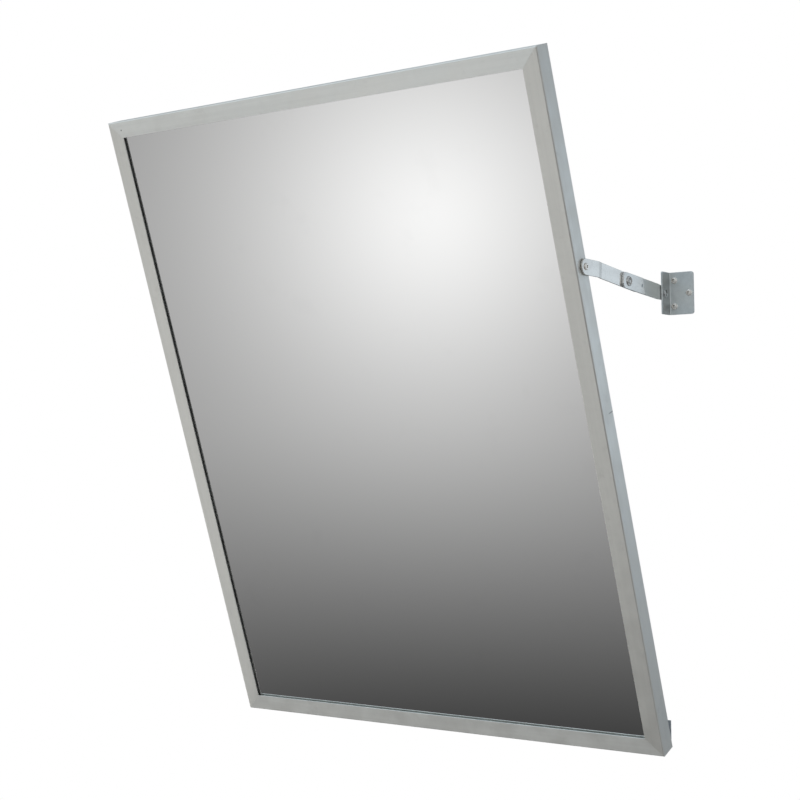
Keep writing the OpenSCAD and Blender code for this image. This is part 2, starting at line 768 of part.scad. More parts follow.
// Mirror link: a joggled strip, seen from above, cut to its bent outline, seen from the side
module mirror_link() {
  joggle = 3;
  half = mirror_link_w / 2;
  end_y = mirror_link_len + half + cut;
  lead_angle = atan2(crease_rise, crease_at);
  rest_angle = atan2(-crease_rise, mirror_link_len - crease_at);
  rest_len = norm([mirror_link_len - crease_at, crease_rise]);
  at_mirror_pivot() difference() {
    intersection() {
      translate([0, 0, -mirror_link_w]) linear_extrude(2 * mirror_link_w) polygon([
        [pivot_link_x, -half - cut], [pivot_link_x, crease_at], [lap_x, crease_at + joggle], [lap_x, end_y],
        [lap_x + link_t, end_y], [lap_x + link_t, crease_at + joggle],
        [pivot_link_x + link_t, crease_at], [pivot_link_x + link_t, -half - cut]]);
      slab(0, pivot_head_x) {
        circle(half);
        rotate(lead_angle) translate([0, -half]) square([crease_at, mirror_link_w]);
        translate([crease_at, crease_rise]) circle(half);
        translate([crease_at, crease_rise]) rotate(rest_angle) translate([0, -half])
          square([rest_len, mirror_link_w]);
        translate([mirror_link_len, 0]) circle(half);
      }
    }
    translate([-cut, 0, 0]) to_right() cylinder(r = pivot_screw_r + run_gap, h = pivot_head_x + 2 * cut);
    translate([-cut, mirror_link_len, 0]) to_right()
      cylinder(r = knuckle_rivet_r + clamp_gap, h = pivot_head_x + 2 * cut);
  }
}

// Mirror pivot: screw, washers, stiffening plate and nut, all on the mirror
module at_frame_pivot() {
  on_mirror() translate([mirror_w, pivot_depth, mirror_h - pivot_drop]) children();
}

module pivot_screw() {
  inner_x = sheet_t + pivot_plate_t + washer_t + pivot_nut_h + 1;
  socket_r = pivot_head_r * 0.36;
  at_frame_pivot() translate([pivot_head_x, 0, 0]) to_right()
    socket_screw(pivot_screw_r, pivot_head_x + inner_x, pivot_head_r, pivot_head_h, socket_r);
}

// One washer between the frame's side and the link, one under the nut
module pivot_washers() {
  at_frame_pivot() for (x = [0, -sheet_t - pivot_plate_t - washer_t])
    translate([x, 0, 0]) to_right() difference() {
      cylinder(r = washer_r, h = washer_t);
      translate([0, 0, -cut]) cylinder(r = pivot_screw_r + clamp_gap, h = washer_t + 2 * cut);
    }
}

module pivot_plate() {
  plate_d = 2 * (return_y - pivot_depth) - 1;
  at_frame_pivot() difference() {
    translate([-sheet_t - pivot_plate_t, -plate_d / 2, -pivot_plate_h / 2])
      cube([pivot_plate_t, plate_d, pivot_plate_h]);
    translate([-sheet_t - pivot_plate_t - cut, 0, 0]) to_right()
      cylinder(r = pivot_screw_r + clamp_gap, h = pivot_plate_t + 2 * cut);
  }
}

module pivot_nut() {
  nut_r = pivot_screw_r * 1.85;
  at_frame_pivot() translate([-sheet_t - pivot_plate_t - washer_t - pivot_nut_h, 0, 0]) to_right() difference() {
    cylinder(r = nut_r, h = pivot_nut_h, $fn = 6);
    translate([0, 0, -cut]) cylinder(r = pivot_screw_r + clamp_gap, h = pivot_nut_h + 2 * cut);
  }
}

// ---- Pairs, left and right ----

module wall_bracket_right() { color(zinc) wall_bracket(); }
module wall_bracket_left() { color(zinc) on_left() wall_bracket(); }
module bracket_screws_right() { color(bright) bracket_screws(); }
module bracket_screws_left() { color(bright) on_left() bracket_screws(); }
module wall_pivot_rivet_right() { color(dull_steel) wall_pivot_rivet(); }
module wall_pivot_rivet_left() { color(dull_steel) on_left() wall_pivot_rivet(); }
module wall_pivot_washer_right() { color(bright) wall_pivot_washer(); }
module wall_pivot_washer_left() { color(bright) on_left() wall_pivot_washer(); }
module wall_link_right() { color(dull_steel) wall_link(); }
module wall_link_left() { color(dull_steel) on_left() wall_link(); }
module detent_spring_right() { color(steel) detent_spring(); }
module detent_spring_left() { color(steel) on_left() detent_spring(); }
module detent_stud_right() { color(bright) detent_stud(); }
module detent_stud_left() { color(bright) on_left() detent_stud(); }
module spring_rivet_right() { color(dull_steel) spring_rivet(); }
module spring_rivet_left() { color(dull_steel) on_left() spring_rivet(); }
module knuckle_rivet_right() { color(bright) knuckle_rivet(); }
module knuckle_rivet_left() { color(bright) on_left() knuckle_rivet(); }
module mirror_link_right() { color(steel) mirror_link(); }
module mirror_link_left() { color(steel) on_left() mirror_link(); }
module knuckle_tail_right() { color(bright) knuckle_tail(); }
module knuckle_tail_left() { color(bright) on_left() knuckle_tail(); }
module pivot_screw_right() { color(bright) pivot_screw(); }
module pivot_screw_left() { color(bright) on_left() pivot_screw(); }
module pivot_washers_right() { color(bright) pivot_washers(); }
module pivot_washers_left() { color(bright) on_left() pivot_washers(); }
module pivot_plate_right() { color(zinc) pivot_plate(); }
module pivot_plate_left() { color(zinc) on_left() pivot_plate(); }
module pivot_nut_right() { color(bright) pivot_nut(); }
module pivot_nut_left() { color(bright) on_left() pivot_nut(); }

frame_top();
frame_bottom();
frame_left();
frame_right();
corner_plates();
corner_rivets();
mirror_glass();
glazing_tape();
backing_foam();
support_board();
back_plate();
back_plate_screws();
rear_bumpers();
hinge_wall_leaf();
hinge_frame_leaf();
hinge_pin();
hinge_rivets();
wall_bracket_left();
wall_bracket_right();
bracket_screws_left();
bracket_screws_right();
wall_pivot_rivet_left();
wall_pivot_rivet_right();
wall_pivot_washer_left();
wall_pivot_washer_right();
wall_link_left();
wall_link_right();
detent_spring_left();
detent_spring_right();
detent_stud_left();
detent_stud_right();
spring_rivet_left();
spring_rivet_right();
knuckle_rivet_left();
knuckle_rivet_right();
mirror_link_left();
mirror_link_right();
knuckle_tail_left();
knuckle_tail_right();
pivot_screw_left();
pivot_screw_right();
pivot_washers_left();
pivot_washers_right();
pivot_plate_left();
pivot_plate_right();
pivot_nut_left();
pivot_nut_right();
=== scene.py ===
"""Looks of the pivot wall mirror: finishes, detailed fittings, a plain studio and the camera.

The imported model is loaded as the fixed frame. Each sub-assembly is a class that dresses its carried-over
nodes and models the pieces that stand for others. Lengths are in metres, in the frame's own axes.
"""

from __future__ import annotations

import logging
import math
from collections.abc import Callable, Mapping, Sequence
from dataclasses import dataclass, field, replace
from enum import Enum
from functools import reduce

import bmesh
import bpy
from mathutils import Matrix, Vector


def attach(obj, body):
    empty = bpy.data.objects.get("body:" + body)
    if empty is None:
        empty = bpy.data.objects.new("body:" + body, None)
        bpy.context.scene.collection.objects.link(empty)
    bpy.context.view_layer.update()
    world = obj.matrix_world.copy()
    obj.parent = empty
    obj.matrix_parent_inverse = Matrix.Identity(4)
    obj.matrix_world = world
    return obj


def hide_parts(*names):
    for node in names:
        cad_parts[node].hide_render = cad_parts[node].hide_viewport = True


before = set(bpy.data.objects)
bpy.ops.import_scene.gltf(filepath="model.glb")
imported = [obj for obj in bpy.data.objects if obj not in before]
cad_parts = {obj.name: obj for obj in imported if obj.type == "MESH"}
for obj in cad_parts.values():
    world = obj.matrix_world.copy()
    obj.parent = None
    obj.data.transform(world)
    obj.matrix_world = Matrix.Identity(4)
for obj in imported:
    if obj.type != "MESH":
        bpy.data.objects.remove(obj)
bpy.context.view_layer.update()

LOG = logging.getLogger("wall_mirror")

Colour = tuple[float, float, float]
Piece = bpy.types.Object
Socket = bpy.types.NodeSocket
Feed = Socket | float | Sequence[float]
Feeds = Mapping[str | int, Feed]
Outputs = Mapping[str, Socket]

MILLIMETRE = 0.001
NEAR = 0.001 * MILLIMETRE
QUARTER_TURN = math.pi / 2.0
SMOOTH_BELOW = math.radians(35.0)
MIRROR_TILT = math.radians(19.1)
STAY_SLOPE = math.radians(-4.477)
ACROSS = Vector((1.0, 0.0, 0.0))
FORWARD = Vector((0.0, -1.0, 0.0))
UPRIGHT = Vector((0.0, 0.0, 1.0))
MIRROR_UP = Vector((0.0, -math.sin(MIRROR_TILT), math.cos(MIRROR_TILT)))
MIRROR_BACK = Vector((0.0, math.cos(MIRROR_TILT), math.sin(MIRROR_TILT)))
STAY_ALONG = Vector((0.0, math.cos(STAY_SLOPE), math.sin(STAY_SLOPE)))
SIDES = ("left", "right")

# The mirror's own frame: x across, y back from its face and z up it, tilted open about the hinge.
HINGE_AXIS = Vector((-0.3, -0.003, -0.013))
AXIS_TO_CORNER = Vector((0.0, -0.027, -0.003))
TILTED = Matrix.Rotation(MIRROR_TILT, 4, "X")
ON_MIRROR = Matrix.Translation(HINGE_AXIS) @ TILTED @ Matrix.Translation(AXIS_TO_CORNER)


class Grain(Enum):
    """Direction in which a sheet was rolled or brushed."""

    LEVEL = tuple(ACROSS)
    UP_MIRROR = tuple(MIRROR_UP)
    ALONG_STAY = tuple(STAY_ALONG)


# ---- Node graphs ----

# Numbers of the colour sockets of a Mix node.
MIX_FACTOR, MIX_FIRST, MIX_SECOND, MIX_RESULT = 0, 6, 7, 2

VECTOR_SOCKETS = ("Place", "Along", "Normal")


@dataclass(frozen=True)
class Graph:
    """Adds nodes to one node tree and links them."""

    tree: bpy.types.NodeTree

    def feed(self, target: Socket, value: Feed) -> None:
        """Links a socket to an input, or sets the input's own value.

        Args:
            target: The input.
            value: A socket to link or a value to set; a colour comes without alpha.
        """
        if isinstance(value, Socket):
            self.tree.links.new(value, target)
        elif target.type == "RGBA":
            target.default_value = (*value, 1.0)
        else:
            target.default_value = value

    def add(self, kind: str, feeds: Feeds | None = None, **settings: object) -> bpy.types.Node:
        """Adds a node.

        Args:
            kind: Blender's name of the node type.
            feeds: What its inputs get, by their names or numbers.
            settings: Properties of the node, by name.

        Returns:
            The new node.
        """
        node = self.tree.nodes.new(kind)
        for name, value in settings.items():
            setattr(node, name, value)
        for key, value in (feeds or {}).items():
            self.feed(node.inputs[key], value)
        return node

    def math(self, operation: str, *values: Feed, clamp: bool = False) -> Socket:
        """Calculates with numbers; clamp keeps the result between 0 and 1."""
        node = self.add("ShaderNodeMath", dict(enumerate(values)), operation=operation, use_clamp=clamp)
        return node.outputs[0]

    def chain(self, operation: str, *values: Feed) -> Socket:
        """Calculates with any count of numbers, from left to right."""
        return reduce(lambda result, value: self.math(operation, result, value), values)

    def vector(self, operation: str, *values: Feed) -> Socket:
        """Calculates with vectors."""
        node = self.add("ShaderNodeVectorMath", dict(enumerate(values)), operation=operation)
        return node.outputs["Value" if operation in ("DOT_PRODUCT", "LENGTH") else "Vector"]

    def scaled(self, vector: Feed, factor: Feed) -> Socket:
        """Multiplies a vector by a number."""
        node = self.add("ShaderNodeVectorMath", {0: vector, "Scale": factor}, operation="SCALE")
        return node.outputs["Vector"]

    def ease(self, value: Socket, low: float, high: float, start: float = 0.0, end: float = 1.0) -> Socket:
        """Eases from start to end while a value goes from low to high, and holds both."""
        feeds = dict(enumerate((value, low, high, start, end)))
        return self.add("ShaderNodeMapRange", feeds, interpolation_type="SMOOTHSTEP").outputs["Result"]

    def fade(self, value: Socket, start: float, end: float) -> Socket:
        """Goes evenly from start to end while a value goes from 0 to 1."""
        feeds = dict(enumerate((value, 0.0, 1.0, start, end)))
        return self.add("ShaderNodeMapRange", feeds).outputs["Result"]

    def mix(self, factor: Feed, first: Feed, second: Feed, mode: str = "MIX") -> Socket:
        """Mixes two colours; the factor is the share of the second."""
        feeds = {MIX_FACTOR: factor, MIX_FIRST: first, MIX_SECOND: second}
        return self.add("ShaderNodeMix", feeds, data_type="RGBA", blend_type=mode).outputs[MIX_RESULT]

    def noise(self, vector: Socket, scale: float, detail: float = 2.0, roughness: float = 0.5) -> Socket:
        """Noise about 0.5, whose finer octaves have a number (detail) and a strength (roughness)."""
        feeds = {"Vector": vector, "Scale": scale, "Detail": detail, "Roughness": roughness}
        return self.add("ShaderNodeTexNoise", feeds).outputs["Fac"]


def new_group(name: str, inputs: Sequence[str], outputs: Sequence[str]) -> tuple[Graph, Outputs, Outputs]:
    """Makes an empty node group.

    Args:
        name: Name of the group.
        inputs: Names of the inputs; those in VECTOR_SOCKETS are vectors, the others numbers.
        outputs: Names of the outputs, likewise.

    Returns:
        The group's graph, its input sockets and its output sockets.
    """
    tree = bpy.data.node_groups.new(name, "ShaderNodeTree")
    for names, end in ((inputs, "INPUT"), (outputs, "OUTPUT")):
        for socket in names:
            kind = "NodeSocketVector" if socket in VECTOR_SOCKETS else "NodeSocketFloat"
            tree.interface.new_socket(socket, in_out=end, socket_type=kind)
    graph = Graph(tree)
    return graph, graph.add("NodeGroupInput").outputs, graph.add("NodeGroupOutput").inputs


def brushed_group() -> bpy.types.NodeTree:
    """Fine grain of brushed or rolled sheet.

    Returns:
        A group that gives the grain's height and a mask of its long, faint streaks.
    """
    graph, source, sink = new_group("brushed_grain", ("Place", "Along", "Fineness"), ("Height", "Streak"))
    squeeze = 0.03
    streaks_per_metre = 130.0
    along = graph.vector("DOT_PRODUCT", source["Place"], source["Along"])
    shift = graph.scaled(source["Along"], graph.math("MULTIPLY", along, squeeze - 1.0))
    squeezed = graph.vector("ADD", source["Place"], shift)
    graph.feed(sink["Height"], graph.noise(graph.scaled(squeezed, source["Fineness"]), 1.0, 2.0, 0.6))
    graph.feed(sink["Streak"], graph.ease(graph.noise(squeezed, streaks_per_metre, 3.0, 0.6), 0.3, 0.7))
    return graph.tree


def mottle_group() -> bpy.types.NodeTree:
    """Cloudy stains and handling marks on bare metal.

    Returns:
        A group that gives a cloud mask and a mask of a few darker smudges.
    """
    graph, source, sink = new_group("handling_mottle", ("Place", "Size"), ("Cloud", "Smudge"))
    elsewhere = (7.3, 2.1, 4.4)
    sized = graph.scaled(source["Place"], graph.math("DIVIDE", 1.0, source["Size"]))
    shifted = graph.vector("ADD", sized, elsewhere)
    graph.feed(sink["Cloud"], graph.ease(graph.noise(sized, 1.0, 4.0, 0.62), 0.28, 0.72))
    graph.feed(sink["Smudge"], graph.ease(graph.noise(shifted, 1.7, 3.0, 0.7), 0.58, 0.74))
    return graph.tree


def spangle_group() -> bpy.types.NodeTree:
    """Crystal flakes of a zinc coat.

    Returns:
        A group that gives one value per flake and the height of the flakes' borders.
    """
    graph, source, sink = new_group("zinc_spangle", ("Place", "Flake"), ("Tone", "Border"))
    warp_scale = 90.0
    warp_reach = (0.006, 0.006, 0.006)
    border_width = 0.12
    warp = graph.add("ShaderNodeTexNoise", {"Vector": source["Place"], "Scale": warp_scale}).outputs["Color"]
    bent = graph.vector("MULTIPLY_ADD", warp, warp_reach, source["Place"])
    flakes = {"Vector": bent, "Scale": graph.math("DIVIDE", 1.0, source["Flake"])}
    cells = graph.add("ShaderNodeTexVoronoi", flakes)
    borders = graph.add("ShaderNodeTexVoronoi", flakes, feature="DISTANCE_TO_EDGE")
    tone = graph.add("ShaderNodeSeparateColor", {"Color": cells.outputs["Color"]})
    graph.feed(sink["Tone"], tone.outputs["Red"])
    graph.feed(sink["Border"], graph.ease(borders.outputs["Distance"], 0.0, border_width))
    return graph.tree


def edge_group() -> bpy.types.NodeTree:
    """Edges that wear has rounded.

    Returns:
        A group that gives the normal over the rounded edges and a mask that is 1 on them.
    """
    graph, source, sink = new_group("worn_edge_and_highlight", ("Radius",), ("Normal", "Edge"))
    rounded = graph.add("ShaderNodeBevel", {"Radius": source["Radius"]}, samples=4).outputs["Normal"]
    plain = graph.add("ShaderNodeNewGeometry").outputs["Normal"]
    graph.feed(sink["Normal"], rounded)
    graph.feed(sink["Edge"], graph.ease(graph.vector("DOT_PRODUCT", rounded, plain), 0.995, 0.8))
    return graph.tree


@dataclass(frozen=True)
class EffectGroups:
    """The effects that several finishes share."""

    brushed: bpy.types.NodeTree = field(default_factory=brushed_group)
    mottle: bpy.types.NodeTree = field(default_factory=mottle_group)
    spangle: bpy.types.NodeTree = field(default_factory=spangle_group)
    edge: bpy.types.NodeTree = field(default_factory=edge_group)


# ---- Finishes ----


@dataclass(frozen=True)
class Coat(Graph):
    """Graph of a new material, with its shader, the place of its patterns and the shared effects."""

    shader: bpy.types.Node
    place: Socket
    groups: EffectGroups

    def give(self, name: str, value: Feed) -> None:
        """Feeds one input of the shader."""
        self.feed(self.shader.inputs[name], value)

    def effect(self, tree: bpy.types.NodeTree, **inputs: Feed) -> Outputs:
        """Places a shared effect; its inputs are named in small letters here."""
        feeds = {name.capitalize(): value for name, value in inputs.items()}
        return self.add("ShaderNodeGroup", feeds, node_tree=tree).outputs

    def mottle(self, size: float) -> Outputs:
        """Places the cloudy stains, in a size."""
        return self.effect(self.groups.mottle, place=self.place, size=size)

    def facing(self, axis: Vector) -> Socket:
        """How far the surface faces an axis, from -1 to 1."""
        return self.vector("DOT_PRODUCT", self.add("ShaderNodeTexCoord").outputs["Normal"], axis)

    def colour(self, colour: Feed, *shades: Socket) -> None:
        """Gives the shader a shaded colour.

        Args:
            colour: The colour.
            shades: Factors that are multiplied with it.
        """
        shade = self.chain("MULTIPLY", *shades)
        grey = self.add("ShaderNodeCombineColor", {0: shade, 1: shade, 2: shade}).outputs["Color"]
        self.give("Base Color", self.mix(1.0, colour, grey, "MULTIPLY"))

    def emboss(self, height: Socket, strength: float, distance: float, **under: Socket) -> None:
        """Gives the shader a bump.

        Args:
            height: The relief.
            strength: Its strength.
            distance: Its depth.
            under: The Normal that it lies on, where that isn't the surface's own.
        """
        feeds = {"Height": height, "Strength": strength, "Distance": distance, **under}
        self.give("Normal", self.add("ShaderNodeBump", feeds).outputs["Normal"])


@dataclass(frozen=True)
class Finish:
    """What every finish has: a name, a colour and a roughness."""

    name: str
    colour: Colour
    roughness: float

    def build(self, groups: EffectGroups) -> bpy.types.Material:
        """Makes the material.

        Args:
            groups: The shared effects.

        Returns:
            The material, with a Principled shader.
        """
        material = bpy.data.materials.new(self.name)
        material.use_nodes = True
        nodes = material.node_tree.nodes
        shader = next(node for node in nodes if node.type == "BSDF_PRINCIPLED")
        place = nodes.new("ShaderNodeTexCoord").outputs["Object"]
        coat = Coat(material.node_tree, shader, place, groups)
        coat.give("Base Color", self.colour)
        coat.give("Roughness", self.roughness)
        self.paint(coat)
        return material

    def paint(self, coat: Coat) -> None:
        """Adds the patterns of this kind of finish."""
        raise NotImplementedError


@dataclass(frozen=True)
class ScratchMark:
    """One small mark on the frame: an oval with a soft border."""

    centre: Vector
    along: Vector
    half_length: float
    half_width: float
    darkness: float
    core: float = 0.6
    border: float = 1.2

    def shade(self, coat: Coat) -> Socket:
        """Darkens the mark.

        Args:
            coat: The material.

        Returns:
            A factor that is below 1 on the mark.
        """
        offset = coat.vector("SUBTRACT", coat.place, self.centre)
        along = coat.vector("DOT_PRODUCT", offset, self.along)
        aside = coat.vector("LENGTH", coat.vector("SUBTRACT", offset, coat.scaled(self.along, along)))
        parts = ((along, self.half_length), (aside, self.half_width))
        shares = dict(enumerate(coat.math("DIVIDE", reach, half) for reach, half in parts))
        spread = coat.vector("LENGTH", coat.add("ShaderNodeCombineXYZ", shares).outputs["Vector"])
        return coat.ease(spread, self.core, self.border, 1.0 - self.darkness, 1.0)


@dataclass(frozen=True)
class BrushedSheet(Finish):
    """Stainless sheet with hairline grain, stains, and edges brightened as wear and as a painted highlight.
    """

    grain: Grain = Grain.LEVEL
    fineness: float = 1500.0
    grain_height: float = 0.02
    grain_depth: float = 0.0002
    streak_depth: float = 0.05
    mottle_depth: float = 0.06
    mottle_size: float = 0.03
    smudge_depth: float = 0.05
    roughness_spread: float = 0.05
    anisotropy: float = 0.55
    edge_radius: float = 0.0004
    # Edge brightening, as wear and as a painted highlight.
    edge_wear_and_highlight: float = 0.3
    metallic: float = 1.0
    # Lighter colour of the cut edges: bare sheared metal and a painted highlight.
    cut_edge_and_highlight: Colour | None = None
    marks: tuple[ScratchMark, ...] = ()

    def paint(self, coat: Coat) -> None:
        """Paints the brushed metal.

        Args:
            coat: The new material.
        """
        axis = self.grain.value
        grain = coat.effect(coat.groups.brushed, place=coat.place, along=axis, fineness=self.fineness)
        mottle = coat.mottle(self.mottle_size)
        edge = coat.effect(coat.groups.edge, radius=self.edge_radius)
        # Painted highlight: faces not turned along X, the cut edges, take the lighter colour, which also
        # stands for bare sheared metal.
        bare: Feed = self.colour
        if self.cut_edge_and_highlight is not None:
            rim = coat.ease(coat.math("ABSOLUTE", coat.facing(ACROSS)), 0.95, 0.6)
            bare = coat.mix(rim, self.colour, self.cut_edge_and_highlight)
        # The edge mask brightens the colour, as wear and as a painted highlight.
        coat.colour(
            bare,
            coat.fade(grain["Streak"], 1.0 - self.streak_depth, 1.0),
            coat.fade(mottle["Cloud"], 1.0 - self.mottle_depth, 1.0),
            coat.fade(mottle["Smudge"], 1.0, 1.0 - self.smudge_depth),
            *(mark.shade(coat) for mark in self.marks),
            coat.fade(edge["Edge"], 1.0, 1.0 + self.edge_wear_and_highlight),
        )
        smoothest, roughest = self.roughness - self.roughness_spread, self.roughness + self.roughness_spread
        coat.give("Roughness", coat.fade(mottle["Cloud"], smoothest, roughest))
        coat.give("Metallic", self.metallic)
        coat.give("Anisotropic", self.anisotropy)
        coat.give("Anisotropic Rotation", 0.25)
        coat.give("Tangent", coat.add("ShaderNodeCombineXYZ", dict(enumerate(axis))).outputs["Vector"])
        coat.emboss(grain["Height"], self.grain_height, self.grain_depth, Normal=edge["Normal"])


@dataclass(frozen=True)
class ZincSheet(Finish):
    """Steel sheet under a coat of zinc, with flakes, a cloudy tone, edges brightened as wear and as a painted
    highlight, and painted shade on faces turned along X.
    """

    flake: float = 0.006
    flake_depth: float = 0.1
    flake_relief: float = 0.12
    flake_height: float = 0.0001
    mottle_depth: float = 0.1
    mottle_size: float = 0.012
    roughness_spread: float = 0.06
    edge_radius: float = 0.0005
    # Edge brightening, as wear and as a painted highlight.
    edge_wear_and_highlight: float = 0.5
    metallic: float = 1.0
    # Painted shade on faces turned along X.
    painted_side_shade: float = 0.0

    def paint(self, coat: Coat) -> None:
        """Paints the zinc coat.

        Args:
            coat: The new material.
        """
        flakes = coat.effect(coat.groups.spangle, place=coat.place, flake=self.flake)
        edge = coat.effect(coat.groups.edge, radius=self.edge_radius)
        # The edge mask brightens the colour, as wear and as a painted highlight.
        shades = [
            coat.fade(flakes["Tone"], 1.0 - self.flake_depth, 1.0),
            coat.fade(coat.mottle(self.mottle_size)["Cloud"], 1.0 - self.mottle_depth, 1.0),
            coat.fade(edge["Edge"], 1.0, 1.0 + self.edge_wear_and_highlight),
        ]
        # Painted shade: faces turned along X, such as the bracket's flange, are darkened.
        if self.painted_side_shade > 0.0:
            sideways = coat.math("ABSOLUTE", coat.facing(ACROSS))
            shades.append(coat.ease(sideways, 0.7, 0.95, 1.0, 1.0 - self.painted_side_shade))
        coat.colour(self.colour, *shades)
        smoothest, roughest = self.roughness - self.roughness_spread, self.roughness + self.roughness_spread
        coat.give("Roughness", coat.fade(flakes["Tone"], smoothest, roughest))
        coat.give("Metallic", self.metallic)
        coat.emboss(flakes["Border"], self.flake_relief, self.flake_height, Normal=edge["Normal"])


@dataclass(frozen=True)
class TurnedMetal(Finish):
    """Bright fastener with faint tool marks, rounded edges and painted shade in its hollows."""

    tone_depth: float = 0.12
    tool_mark_size: float = 0.0018
    roughness_spread: float = 0.15
    edge_radius: float = 0.00025
    metallic: float = 1.0
    hollow_depth: float = 0.0015
    # Painted shade in the hollows.
    painted_hollow_shade: float = 0.75

    def paint(self, coat: Coat) -> None:
        """Paints the bright metal.

        Args:
            coat: The new material.
        """
        mottle = coat.mottle(self.tool_mark_size)
        # Painted shade: the colour darkens in the hollows that the ambient-occlusion node finds, such as the
        # socket.
        reach = {"Distance": self.hollow_depth}
        hollow = coat.add("ShaderNodeAmbientOcclusion", reach, samples=8, only_local=True)
        coat.colour(
            self.colour,
            coat.fade(mottle["Cloud"], 1.0 - self.tone_depth, 1.0),
            coat.ease(hollow.outputs["AO"], 0.3, 0.85, 1.0 - self.painted_hollow_shade, 1.0),
        )
        roughest = self.roughness + self.roughness_spread
        coat.give("Roughness", coat.fade(mottle["Smudge"], self.roughness, roughest))
        coat.give("Metallic", self.metallic)
        coat.give("Normal", coat.effect(coat.groups.edge, radius=self.edge_radius)["Normal"])


@dataclass(frozen=True)
class SilveredGlass(Finish):
    """The mirror: silvered float glass with a trace of dust and wiping marks."""

    haze: float = 0.03
    wipe_size: float = 0.12
    dust_shade: float = 0.985

    def paint(self, coat: Coat) -> None:
        """Paints the mirror's surface.

        Args:
            coat: The new material.
        """
        wiped = coat.mottle(self.wipe_size)
        dusty = tuple(self.dust_shade * share for share in self.colour)
        coat.give("Roughness", coat.fade(wiped["Cloud"], self.roughness, self.roughness + self.haze))
        coat.give("Base Color", coat.mix(wiped["Smudge"], self.colour, dusty))
        coat.give("Metallic", 1.0)


@dataclass(frozen=True)
class SoftSolid(Finish):
    """Rubber, tape or foam: a grained, non-metallic surface with a dusty tone and, where set, a painted light
    on faces turned up the mirror.
    """

    cell: float = 0.0008
    relief: float = 0.3
    relief_depth: float = 0.0002
    mottle_size: float = 0.008
    roughness_spread: float = 0.1
    dust: float = 0.15
    # Colour of dust, and of the painted light on upward faces.
    dust_and_top_light_colour: Colour = (0.3, 0.3, 0.29)
    # Painted light on the faces turned up the mirror.
    painted_top_light: float = 0.0

    def paint(self, coat: Coat) -> None:
        """Paints the soft surface.

        Args:
            coat: The new material.
        """
        mottle = coat.mottle(self.mottle_size)
        cells = coat.add("ShaderNodeTexVoronoi", {"Vector": coat.place, "Scale": 1.0 / self.cell})
        dusty = coat.math("MULTIPLY", mottle["Cloud"], self.dust)
        # Painted light: faces turned up the mirror are lightened towards the dust colour.
        if self.painted_top_light > 0.0:
            on_top = coat.ease(coat.facing(MIRROR_UP), 0.3, 0.8, 0.0, self.painted_top_light)
            dusty = coat.math("ADD", dusty, on_top, clamp=True)
        coat.give("Base Color", coat.mix(dusty, self.colour, self.dust_and_top_light_colour))
        roughest = min(self.roughness + self.roughness_spread, 1.0)
        coat.give("Roughness", coat.fade(mottle["Smudge"], self.roughness, roughest))
        coat.emboss(cells.outputs["Distance"], self.relief, self.relief_depth)


@dataclass(frozen=True)
class FibreBoard(Finish):
    """Pressed board with short fibres."""

    fibre_colour: Colour = (0.38, 0.27, 0.17)
    fineness: float = 700.0
    mottle_size: float = 0.004
    roughest: float = 0.95
    relief: float = 0.3
    relief_depth: float = 0.0003

    def paint(self, coat: Coat) -> None:
        """Paints the board.

        Args:
            coat: The new material.
        """
        grain = coat.effect(coat.groups.brushed, place=coat.place, along=MIRROR_UP, fineness=self.fineness)
        fibres = coat.math("MULTIPLY", grain["Streak"], coat.mottle(self.mottle_size)["Cloud"])
        coat.give("Base Color", coat.mix(fibres, self.colour, self.fibre_colour))
        coat.give("Roughness", coat.fade(fibres, self.roughness, self.roughest))
        coat.emboss(fibres, self.relief, self.relief_depth)


TINY_DOT = ScratchMark(Vector((-0.2806, -0.2793, 0.7022)), ACROSS, 0.0012, 0.001, darkness=0.55)
SIDE_SCRATCH = ScratchMark(Vector((0.3, -0.1386, 0.3525)), MIRROR_BACK, 0.006, 0.0008, darkness=0.42)


